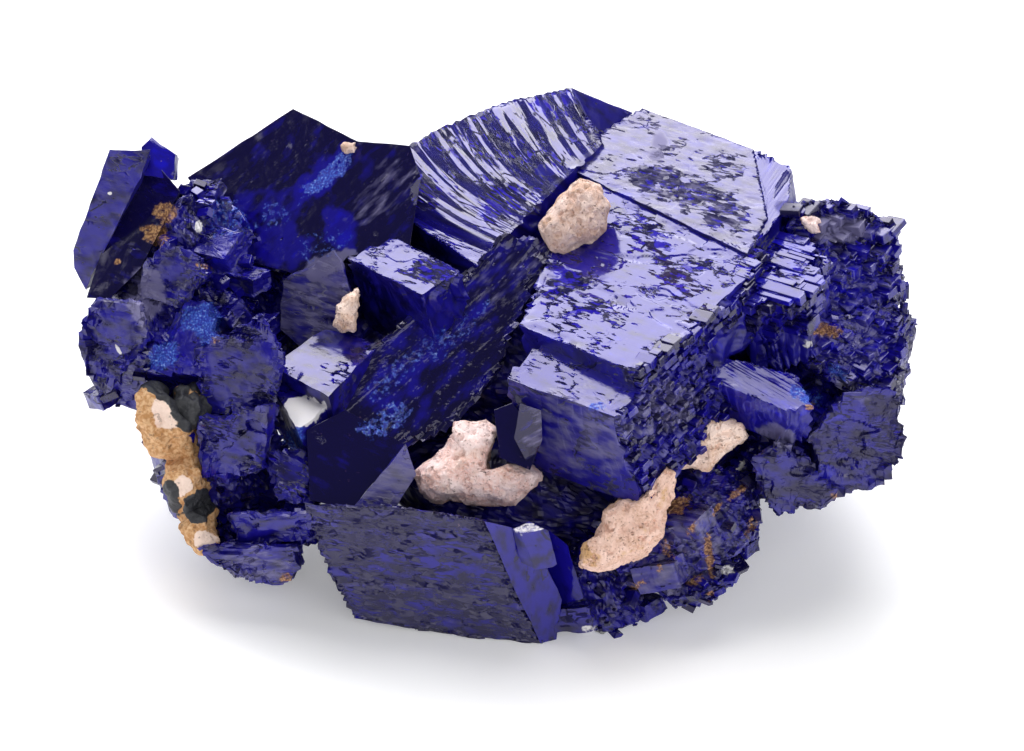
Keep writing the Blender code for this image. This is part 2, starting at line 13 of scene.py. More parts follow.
import bpy
import numpy as np
from mathutils import Euler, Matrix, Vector


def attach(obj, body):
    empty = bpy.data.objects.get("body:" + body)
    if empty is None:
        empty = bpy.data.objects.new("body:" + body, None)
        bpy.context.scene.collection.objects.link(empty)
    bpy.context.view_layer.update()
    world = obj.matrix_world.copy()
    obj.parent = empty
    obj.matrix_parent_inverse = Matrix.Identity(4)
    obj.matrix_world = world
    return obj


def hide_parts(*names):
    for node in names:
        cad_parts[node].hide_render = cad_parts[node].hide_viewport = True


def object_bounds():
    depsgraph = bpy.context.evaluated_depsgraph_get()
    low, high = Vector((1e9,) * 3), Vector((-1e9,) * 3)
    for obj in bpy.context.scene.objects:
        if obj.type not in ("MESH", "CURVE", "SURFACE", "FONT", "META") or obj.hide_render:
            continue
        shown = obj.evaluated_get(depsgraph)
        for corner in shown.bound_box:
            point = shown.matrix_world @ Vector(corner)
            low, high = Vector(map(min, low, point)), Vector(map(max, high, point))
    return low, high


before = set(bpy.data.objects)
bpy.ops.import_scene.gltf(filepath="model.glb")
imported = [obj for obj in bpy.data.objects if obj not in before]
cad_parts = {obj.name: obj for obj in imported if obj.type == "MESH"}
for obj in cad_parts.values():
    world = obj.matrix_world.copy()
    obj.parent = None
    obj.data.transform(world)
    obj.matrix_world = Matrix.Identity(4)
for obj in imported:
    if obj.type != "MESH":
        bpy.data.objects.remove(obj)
CAD_BOX = [list(corner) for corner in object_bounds()]

LOG = logging.getLogger("rough_azurite")
MM = 0.001

# Front viewpoint: how far it stands off, how high it looks down, and what it looks at.
VIEW_DISTANCE = 346.0
VIEW_ELEVATION = radians(33.0)
VIEW_TARGET = np.array((0.0, 0.0, 19.0))
ACROSS = np.array((1.0, 0.0, 0.0))
UPWARD = np.array((0.0, sin(VIEW_ELEVATION), cos(VIEW_ELEVATION)))
AWAY = np.array((0.0, cos(VIEW_ELEVATION), -sin(VIEW_ELEVATION)))
VIEW_WIDTH = 92.16
SENSOR_WIDTH = 36.0

# What brings the middle of the specimen over the origin.
TO_ORIGIN = np.array((1.7222, -8.3453, 0.0))

# The turn between one lump face and the next, how much smaller the back of a crystal is than its seen face,
# how far in radians a small crystal tips off the lattice, and how deep it sits in its lump.
GOLDEN_TURN = pi * (3.0 - sqrt(5.0))
BACK_NARROWING = 0.85
RUBBLE_TIP = 0.35
RUBBLE_SINK = 0.93


def unit(*parts: float) -> np.ndarray:
    """A direction of length one."""
    vector = np.array(parts, float)
    return vector / np.linalg.norm(vector)


# The way each kind of face looks: to the right, away from the viewer, and up.
STEP_TOP = unit(-0.21, -0.07, 0.975)
STEP_LOW = unit(-0.21, -0.16, 0.965)
STEP_RIGHT = unit(0.02, -0.25, 0.97)
WALL_FRONT = unit(-0.15, -0.97, -0.16)
WALL_LEFT = unit(-0.60, -0.79, -0.10)
WALL_RIGHT = unit(0.30, -0.94, -0.12)
WALL_UP = unit(0.15, -0.90, 0.38)
LEAN_LEFT = unit(-0.50, -0.81, 0.29)
SLOPE_FRONT = unit(0.0, -0.65, 0.76)
SLOPE_LEFT = unit(-0.30, -0.66, 0.69)
SLOPE_RIGHT = unit(0.35, -0.72, 0.60)
DRUSE_FRONT = unit(0.10, -0.80, 0.60)
DRUSE_LOW = unit(0.25, -0.92, 0.30)
DRUSE_END = unit(0.90, -0.43, 0.05)

# The stepped plates share one lattice. Its run is the way their long edges go down to the right.
STEP_DATUM = (9.0, -3.6, -14.3)
STEP_RUN = np.array((0.75, -0.64, 0.12))


class Mark(Enum):
    """What a surface carries besides its form, each as a share from none to one."""

    PITS = "pits"
    BANDS = "bands"
    BLUE = "blue"
    AZURE = "azure"
    FILM = "film"
    PALE = "pale"
    RUST = "rust"
    GLINT = "glint"
    MATTE = "matte"


# Data


@dataclass(frozen=True)
class Relief:
    """How a crystal is etched and grown. Shares run from none to one, sizes and depths are millimetres.

    The first eight are shares of marks. Terraces, grooves and blocks are forms cut into the surface, ragged is
    the step length of broken edges along the run, across it and up, wobble is how far edges stray, and rough
    is even noise.
    """

    pits: float = 0.30
    wall_pits: float = 0.22
    bands: float = 0.0
    blue: float = 0.45
    film: float = 0.0
    glint: float = 0.0
    matte: float = 0.0
    wall_matte: float = 0.6
    terrace: float = 0.0
    grooves: float = 0.0
    groove_width: float = 0.8
    blocks: float = 0.0
    block_size: tuple = (1.7, 1.3, 0.9)
    block_faces: tuple = (1.0, 1.0, 1.0)
    ragged: tuple = (0.0, 0.0, 0.0)
    wobble: float = 0.2
    rough: float = 0.02
    rough_size: float = 0.6


BRIGHT = Relief(pits=0.40, blue=0.62, terrace=0.10, ragged=(0.8, 0.0, 0.0), wobble=0.1)
CLEAN = Relief(pits=0.24, blue=0.50)
FLAMED = Relief(pits=0.38, bands=0.53, blue=0.50, terrace=0.0, ragged=(0.5, 0.0, 0.0))
DULL_TOP = Relief(pits=0.38, blue=0.42, film=0.42, matte=0.25, terrace=0.04, ragged=(0.4, 0.0, 0.0), wobble=0.1)
SLATTED = Relief(pits=0.32, blue=0.65, grooves=0.35, groove_width=1.1, terrace=0.2, ragged=(0.7, 0.6, 0.3))
STRIATED = Relief(pits=0.20, blue=0.75, grooves=0.035, groove_width=0.3, ragged=(0.6, 0.0, 0.0))
DASHED = Relief(pits=0.60, wall_pits=0.62, blue=0.30, matte=0.2, terrace=0.16, ragged=(0.5, 0.4, 0.3), rough=0.02)
SMOOTH = Relief(pits=0.30, wall_pits=0.42, blue=0.55, matte=0.3, rough=0.02, wobble=0.1)
# GRAY's film is painted sheen: its gray stands in for the reflection on the gray crystal's faces.
GRAY = Relief(pits=0.50, wall_pits=0.4, blue=0.45, film=0.50, matte=0.4, rough=0.03, wobble=0.35)
GLASSY = Relief(pits=0.05, blue=0.65, rough=0.01)
BLACK = Relief(pits=0.10, wall_pits=0.1, blue=-0.2, rough=0.01, wobble=0.05)
WORN = Relief(pits=0.42, wall_pits=0.4, blue=0.50, matte=0.4, glint=0.08, terrace=0.35, ragged=(0.7, 0.6, 0.4),
              rough=0.05, rough_size=0.8, wobble=0.5)
ROUGH_DARK = Relief(pits=0.10, wall_pits=0.1, blue=0.10, glint=0.015, rough=0.03, rough_size=0.7, wobble=0.06)
FIBROUS = Relief(pits=0.15, wall_pits=0.1, blue=0.20, glint=0.09, grooves=0.04, groove_width=0.9,
                 ragged=(0.8, 0.5, 0.4), rough=0.10, rough_size=0.7, wobble=0.4)
DUSTY = Relief(pits=0.40, blue=0.45, film=0.4, matte=0.5, glint=0.15, terrace=0.4, ragged=(0.8, 0.7, 0.5), rough=0.12)
AZURE_CRUST = Relief(pits=0.20, blue=0.8, matte=0.5, glint=0.2, ragged=(0.8, 0.7, 0.5), rough=0.25, rough_size=0.5)
DRUSE = Relief(pits=0.48, wall_pits=0.45, blue=0.50, matte=0.3, glint=0.15, blocks=0.5, block_size=(1.3, 1.0, 0.8),
               ragged=(0.8, 0.6, 0.5), rough=0.08)
PITTED_FACE = Relief(pits=0.50, wall_pits=0.45, blue=0.35, matte=0.5, glint=0.05, terrace=0.3, blocks=0.15,
                     ragged=(0.7, 0.6, 0.5), rough=0.04, wobble=0.5)
RUBBLY = Relief(pits=0.40, wall_pits=0.4, blue=0.50, matte=0.4, glint=0.15, blocks=0.9, rough=0.25, rough_size=1.4)
BURIED = Relief(pits=0.10, blue=0.40, matte=0.8, blocks=0.8, rough=0.2)


@dataclass(frozen=True)
class Crystal:
    """A crystal: the face seen from the front, its thickness behind that face, and its relief.

    lean moves the back aside, so that the walls slant. cell is the mesh size. flamed bends the bands of the face.
    """

    name: str
    facing: np.ndarray
    thickness: float
    outline: tuple
    depth: float = 0.0
    level: float | None = None
    relief: Relief = SMOOTH
    lean: tuple = (0.0, 0.0, 0.0)
    cell: float = 0.2
    run: tuple | None = None
    flamed: bool = False


@dataclass(frozen=True)
class Lump:
    """A solid of many flat faces: its middle across, up and away, its half sizes and its turn."""

    name: str
    middle: tuple
    half_size: tuple
    faces: int
    unevenness: float
    seed: int
    turn: tuple = (0.0, 0.0, 0.0)


@dataclass(frozen=True)
class Rubble:
    """Small tabular crystals that stand on a lump: their number and the range of their lengths."""

    lump: str
    count: int
    length: tuple
    seed: int

TOP_PLATES = (
    Crystal("top_plate", STEP_TOP, 9.0,
            ((5.9, 18.3), (21.2, 10.9), (22.9, 14.3), (21.6, 20.4), (11.7, 24.1), (7.9, 21.8)),
            level=2.6, relief=DULL_TOP, cell=0.19),
    Crystal("top_bevel", STEP_TOP, 6.0,
            ((21.2, 10.9), (23.9, 14.0), (25.0, 16.2), (25.0, 18.7), (21.6, 20.4), (22.9, 14.3)),
            level=2.4, relief=STRIATED, cell=0.17, run=(0.15, 1.0)),
)
PEAK_PLATES = (
    Crystal("peak_plate", STEP_TOP, 9.0,
            ((-10.4, 14.8), (-3.3, 9.9), (8.2, 21.0), (5.3, 25.9), (-0.9, 24.6), (-4.3, 23.3), (-9.4, 20.7)),
            level=3.0, relief=FLAMED, cell=0.19, flamed=True),
    Crystal("peak_facet", SLOPE_RIGHT, 6.0,
            ((5.3, 25.9), (6.7, 23.2), (7.9, 21.6), (10.9, 23.6)), depth=18.0, relief=SMOOTH),
)
CENTRE_PLATES = (
    Crystal("centre_plate", STEP_TOP, 6.0,
            ((0.7, 4.5), (10.6, 0.5), (15.3, 3.5), (21.0, 8.6), (22.5, 11.5), (11.5, 17.6), (6.2, 17.9)),
            level=2.3, relief=BRIGHT, cell=0.18),
)
MAIN_BLOCK = (
    Crystal("main_block", STEP_LOW, 8.4,
            ((-0.8, -0.2), (9.0, -3.6), (17.2, 3.8), (7.4, 7.2)),
            level=0.0, relief=replace(BRIGHT, pits=0.28, wall_pits=0.40, terrace=0.0, blocks=0.5, block_faces=(1.0, 0.0, 0.0)), cell=0.16,
            lean=(0.9, -3.4, 0.0)),
)
SIDE_PLATES = (
    Crystal("mid_left_plate", STEP_TOP, 8.0,
            ((-14.8, 10.6), (-8.2, 7.3), (-4.7, 9.5), (-10.5, 12.4)), level=5.0,
            relief=replace(BRIGHT, pits=0.33), cell=0.18),
    Crystal("right_slats", STEP_TOP, 8.0,
            ((20.7, 14.6), (27.9, 11.3), (26.1, 7.5), (20.5, 6.6), (18.9, 10.2)),
            level=0.8, relief=SLATTED, cell=0.17),
    Crystal("right_step", STEP_TOP, 7.0,
            ((20.3, 8.1), (22.8, 5.5), (26.1, 7.6), (24.8, 9.5)), level=-0.8, relief=SLATTED, cell=0.17),
    Crystal("striated_plate", STEP_RIGHT, 4.5,
            ((17.3, 0.0), (24.7, -3.2), (27.0, -2.6), (25.6, 0.0), (18.9, 1.8)),
            level=-2.8, relief=STRIATED, cell=0.1),
    Crystal("small_right_plate", STEP_RIGHT, 5.0,
            ((15.6, -4.5), (19.2, -2.7), (17.0, -1.8)), level=-5.5, relief=BRIGHT),
)
PALE_PLATES = (
    Crystal("low_left_plate", STEP_TOP, 6.0,
            ((-21.6, 0.9), (-16.6, -1.9), (-12.1, 2.7), (-16.4, 4.5)), level=0.4, relief=CLEAN),
    Crystal("lowest_left_plate", STEP_TOP, 5.0,
            ((-21.6, -0.8), (-19.3, -4.9), (-16.4, -2.4), (-19.1, -0.4)), level=-1.2, relief=CLEAN),
    Crystal("prism_cap", STEP_TOP, 4.0,
            ((0.0, -13.8), (1.5, -13.1), (3.2, -13.9), (1.8, -14.7)), level=-7.0, relief=CLEAN, cell=0.15),
    Crystal("striped_chip", STEP_TOP, 4.0,
            ((-20.5, -10.9), (-18.4, -10.2), (-18.5, -12.3), (-20.8, -12.5)),
            level=-6.8, relief=SLATTED, cell=0.12),
)
FRONT_BLOCK = (
    Crystal("front_block", WALL_FRONT, 16.0,
            ((2.6, -24.1), (0.7, -20.2), (-2.5, -13.1), (-10.5, -11.9), (-18.6, -11.7), (-16.6, -17.5),
             (-14.2, -21.8), (-5.9, -23.2)), depth=-2.2, relief=DASHED, run=(1.0, -0.1)),
)
FRONT_CRYSTALS = (
    # The pyramid's film is painted sheen for the light its faces mirror.
    Crystal("pyramid", WALL_UP, 5.0,
            ((-14.5, -12.1), (-10.3, -11.7), (-8.6, -8.9), (-9.6, -6.2)), depth=-8.0,
            relief=replace(SMOOTH, film=0.5)),
    Crystal("black_crystal", SLOPE_FRONT, 8.0,
            ((-18.5, -4.9), (-18.2, -11.2), (-14.5, -12.1), (-9.6, -6.2), (-15.0, -3.1)),
            depth=-3.5, relief=BLACK),
    Crystal("front_prism", WALL_RIGHT, 9.0,
            ((2.6, -24.1), (4.0, -23.8), (4.5, -20.2), (2.0, -14.8), (0.0, -13.7), (-2.5, -13.1),
             (0.7, -20.2)), depth=-2.2, relief=SMOOTH, run=(-0.2, 1.0)),
    Crystal("slim_prism", WALL_LEFT, 6.0,
            ((-2.6, -13.6), (0.1, -13.9), (1.8, -18.0), (2.3, -21.2), (1.2, -21.4), (-0.8, -17.0)),
            depth=-4.6, relief=SMOOTH, run=(-0.35, 1.0)),
    Crystal("capped_prism", WALL_RIGHT, 5.0,
            ((0.1, -13.9), (1.8, -14.8), (3.2, -14.0), (3.6, -17.2), (2.4, -20.0), (1.8, -18.0)),
            depth=-5.4, relief=SMOOTH, run=(-0.2, 1.0)),
    Crystal("glassy_prism", WALL_LEFT, 6.0,
            ((4.5, -20.6), (6.4, -20.0), (5.0, -15.3), (3.3, -13.9), (2.0, -14.8)),
            depth=-3.0, relief=GLASSY, run=(-0.25, 1.0)),
    Crystal("small_dark_crystal", SLOPE_LEFT, 9.0,
            ((-1.6, -3.1), (-1.1, -7.4), (1.6, -8.5), (2.7, -5.8), (0.0, -2.5)), depth=-8.5, relief=BLACK),
    Crystal("small_dark_side", WALL_RIGHT, 4.0,
            ((1.6, -8.5), (2.7, -5.8), (2.6, -3.2), (0.7, -2.5), (0.2, -5.6)), depth=-9.6, relief=ROUGH_DARK),
)
LONG_BLADE = (
    Crystal("long_blade", SLOPE_FRONT, 9.0,
            ((-0.5, 12.9), (-3.3, 9.9), (-12.6, 2.7), (-16.6, -1.8), (-18.9, -4.7), (-12.9, -7.6),
             (-9.6, -6.3), (-5.0, -4.4), (-2.0, -0.8), (1.7, 7.7), (3.7, 11.5)),
            depth=3.5, relief=FIBROUS, cell=0.18, run=(0.70, 0.72)),
)
DARK_CRYSTAL = (
    Crystal("dark_crystal", SLOPE_LEFT, 13.0,
            ((-16.8, 8.4), (-14.8, 10.7), (-9.2, 11.5), (-8.2, 17.8), (-9.2, 20.7), (-13.9, 21.1),
             (-19.7, 24.0), (-29.2, 17.8), (-23.6, 10.2)), depth=7.0, relief=ROUGH_DARK, cell=0.18, run=(0.75, 0.66)),
)
LEFT_CRYSTALS = (
    Crystal("gray_crystal", LEAN_LEFT, 8.0,
            ((-19.1, 2.7), (-15.0, 3.9), (-14.4, 7.7), (-15.9, 11.3), (-20.7, 8.4), (-20.9, 4.1)),
            depth=6.0, relief=GRAY),
    Crystal("left_blade", LEAN_LEFT, 7.0,
            ((-38.4, 7.7), (-36.2, 12.3), (-33.4, 17.9), (-32.6, 20.3), (-36.2, 20.3), (-37.8, 15.8),
             (-39.5, 11.3), (-39.4, 9.7)), depth=6.0, relief=SMOOTH),
    Crystal("ridge_by_blade", SLOPE_LEFT, 7.0,
            ((-38.3, 7.0), (-36.5, 12.6), (-33.6, 18.4), (-31.6, 18.6), (-29.9, 16.6), (-33.4, 9.7),
             (-36.2, 6.9)), depth=3.6, relief=ROUGH_DARK),
    Crystal("blue_tip", SLOPE_FRONT, 6.0,
            ((-33.2, 18.0), (-30.5, 17.6), (-30.2, 19.9), (-32.4, 21.4), (-33.3, 20.5)),
            depth=4.0, relief=GLASSY),
    Crystal("left_facet_upper", LEAN_LEFT, 6.0,
            ((-33.6, 6.9), (-30.0, 6.4), (-27.4, 9.2), (-28.4, 10.9), (-31.4, 12.0), (-33.4, 9.8)),
            depth=2.4, relief=WORN),
    Crystal("left_facet_outer", LEAN_LEFT, 6.0,
            ((-38.7, 1.2), (-36.8, -1.7), (-33.0, 3.4), (-33.4, 6.6), (-37.2, 6.8), (-38.6, 4.4)),
            depth=1.6, relief=WORN),
    Crystal("left_blue_slope", SLOPE_LEFT, 6.0,
            ((-32.8, 0.2), (-28.2, 0.0), (-26.8, 2.6), (-27.2, 6.3), (-29.2, 6.9)),
            depth=0.4, relief=AZURE_CRUST),
    Crystal("left_upper_face", LEAN_LEFT, 7.0,
            ((-28.1, -3.6), (-21.5, -2.7), (-20.5, 1.4), (-22.5, 5.2), (-28.5, 2.7)),
            depth=0.0, relief=WORN),
    Crystal("left_mid_face", LEAN_LEFT, 7.0,
            ((-27.6, -9.4), (-22.5, -8.5), (-21.3, -2.6), (-28.3, -4.0)), depth=-1.0, relief=WORN),
    Crystal("link_crystal", SLOPE_FRONT, 5.0,
            ((-22.0, -6.9), (-19.9, -6.7), (-18.4, -7.2), (-17.6, -9.2), (-17.6, -11.7), (-20.9, -11.2),
             (-22.0, -8.5)), depth=-3.0, relief=WORN),
    Crystal("left_low_face", WALL_FRONT, 7.0,
            ((-24.5, -15.7), (-17.9, -14.4), (-17.9, -12.2), (-25.6, -12.7)), depth=-2.0, relief=WORN),
    Crystal("left_foot", WALL_FRONT, 8.0,
            ((-22.3, -18.7), (-20.9, -18.7), (-19.1, -17.1), (-19.3, -15.3), (-28.1, -15.5),
             (-26.5, -17.3)), depth=-1.0, relief=WORN),
)
RIGHT_CRYSTALS = (
    Crystal("druse_top", STEP_TOP, 4.0,
            ((27.9, 14.7), (30.1, 15.3), (33.8, 13.8), (32.2, 12.1), (28.3, 12.3)),
            level=-1.4, relief=DUSTY),
    Crystal("druse_upper", DRUSE_FRONT, 11.0,
            ((34.3, 13.8), (34.5, 10.2), (34.6, 6.6), (32.2, 5.0), (28.3, 4.6), (25.9, 6.6), (24.8, 10.2),
             (25.2, 15.3), (26.2, 15.8), (28.0, 15.6), (29.7, 15.7), (31.5, 15.0)),
            depth=0.5, relief=DRUSE),
    Crystal("druse_upper_end", DRUSE_END, 6.0,
            ((34.3, 13.8), (34.8, 12.1), (35.2, 8.5), (35.3, 6.5), (34.6, 6.6), (34.5, 10.2)),
            depth=0.5, relief=PITTED_FACE),
    Crystal("druse_middle", DRUSE_FRONT, 10.0,
            ((35.4, 4.5), (35.1, 2.1), (34.3, -2.0), (31.3, -2.2), (27.7, 0.3), (25.2, 2.8), (27.0, 5.0),
             (30.4, 5.4), (34.5, 6.5)), depth=-1.5, relief=DRUSE),
    Crystal("druse_middle_end", DRUSE_END, 6.0,
            ((35.4, 4.5), (35.3, 6.4), (36.4, 4.7), (36.0, 3.2), (35.5, -0.2), (34.9, -2.6), (34.3, -2.0),
             (35.1, 2.1)), depth=-1.5, relief=PITTED_FACE),
    Crystal("druse_lower", DRUSE_LOW, 10.0,
            ((35.1, -7.2), (33.8, -9.0), (31.7, -10.2), (29.3, -10.7), (27.5, -9.2), (26.6, -5.4),
             (30.0, -1.5), (34.0, -0.9), (34.8, -2.6), (34.6, -3.7), (35.2, -5.0)),
            depth=-3.5, relief=PITTED_FACE),
    Crystal("druse_foot", DRUSE_LOW, 7.0,
            ((29.3, -10.7), (27.9, -11.8), (26.2, -11.5), (25.4, -12.3), (24.0, -12.5), (22.8, -11.0),
             (21.6, -7.8), (23.8, -5.8), (26.1, -6.9), (27.5, -9.2)), depth=-5.5, relief=PITTED_FACE),
)
CORE_LUMPS = (
    Lump("core", (0.0, 0.5, 14.0), (24.0, 13.0, 12.5), 26, 0.12, 1),
    Lump("middle_floor", (2.0, -9.0, 6.0), (16.0, 10.0, 6.0), 22, 0.10, 10),
    Lump("right_bridge", (17.5, -4.0, 3.5), (6.5, 7.0, 5.5), 22, 0.12, 16),
)
LEFT_LUMPS = (
    Lump("left_rubble_upper", (-28.6, 11.5, 9.0), (5.8, 6.5, 7.2), 22, 0.15, 2),
    Lump("left_rubble_middle", (-30.5, 3.5, 8.0), (8.5, 8.0, 8.0), 22, 0.15, 3),
    Lump("left_rubble_lower", (-26.5, -7.0, 6.0), (6.0, 7.0, 7.5), 22, 0.15, 4),
    Lump("left_foot_lump", (-23.5, -14.0, 5.0), (5.0, 6.0, 3.5), 22, 0.12, 14),
)
RIGHT_LUMPS = (
    Lump("right_druse_upper", (28.2, 8.2, 8.5), (6.2, 8.0, 7.4), 26, 0.12, 5),
    Lump("right_druse_middle", (28.4, 1.0, 7.0), (6.4, 8.6, 7.4), 26, 0.12, 6),
    Lump("right_druse_lower", (25.8, -4.6, 4.0), (7.8, 7.6, 5.4), 26, 0.12, 7),
)
BAND_LUMPS = (
    Lump("front_right_band", (14.8, -13.0, -1.0), (9.0, 7.5, 5.6), 26, 0.14, 8, (0.0, -0.35, 0.0)),
    Lump("front_right_foot", (8.0, -18.0, 1.0), (5.2, 6.0, 5.2), 22, 0.14, 9),
    Lump("front_right_toe", (16.6, -17.2, -1.0), (4.4, 5.0, 3.2), 22, 0.12, 15, (0.0, -0.3, 0.0)),
)
BACK_LUMPS = (
    Lump("back_left", (-17.0, 6.0, 20.0), (14.0, 9.0, 10.0), 26, 0.14, 11),
    Lump("back_right", (14.0, 7.0, 18.0), (15.0, 10.0, 10.0), 26, 0.14, 12),
    Lump("back_foot", (1.0, -3.0, 26.0), (11.0, 8.0, 6.5), 22, 0.12, 13),
)
RUBBLE = (
    Rubble("left_rubble_upper", 9, (3.0, 5.5), 51),
    Rubble("left_rubble_middle", 12, (3.0, 6.0), 52),
    Rubble("left_rubble_lower", 9, (2.5, 4.5), 53),
    Rubble("left_foot_lump", 6, (2.5, 4.0), 54),
    Rubble("right_druse_upper", 10, (2.5, 4.5), 55),
    Rubble("right_druse_middle", 10, (2.0, 4.0), 56),
    Rubble("right_druse_lower", 10, (2.0, 4.0), 57),
    Rubble("front_right_band", 12, (2.5, 4.5), 58),
    Rubble("front_right_foot", 8, (2.5, 4.0), 59),
    Rubble("back_left", 14, (5.0, 9.0), 60),
    Rubble("back_right", 16, (5.0, 9.0), 61),
    Rubble("back_foot", 8, (4.0, 7.0), 62),
)
LIMONITE_LUMPS = (
    Lump("limonite_upper", (-31.0, -4.6, 0.5), (2.3, 3.2, 4.2), 24, 0.12, 41, (0.0, -0.42, 0.0)),
    Lump("limonite_middle", (-29.3, -9.8, 0.5), (2.4, 3.2, 2.6), 24, 0.12, 42, (0.0, -0.2, 0.0)),
    Lump("limonite_lower", (-28.1, -13.6, 0.5), (1.7, 2.8, 2.6), 24, 0.12, 43, (0.0, -0.25, 0.0)),
    Lump("limonite_knob", (-28.9, -2.9, 0.0), (2.2, 2.2, 2.1), 24, 0.08, 44),
)


@dataclass(frozen=True)
class Patch:
    """A spot of one mark on the seen side: where it lies, its half sizes, its strength and its turn."""

    mark: Mark
    across: float
    up: float
    half_width: float
    half_height: float
    strength: float = 1.0
    turn: float = 0.0


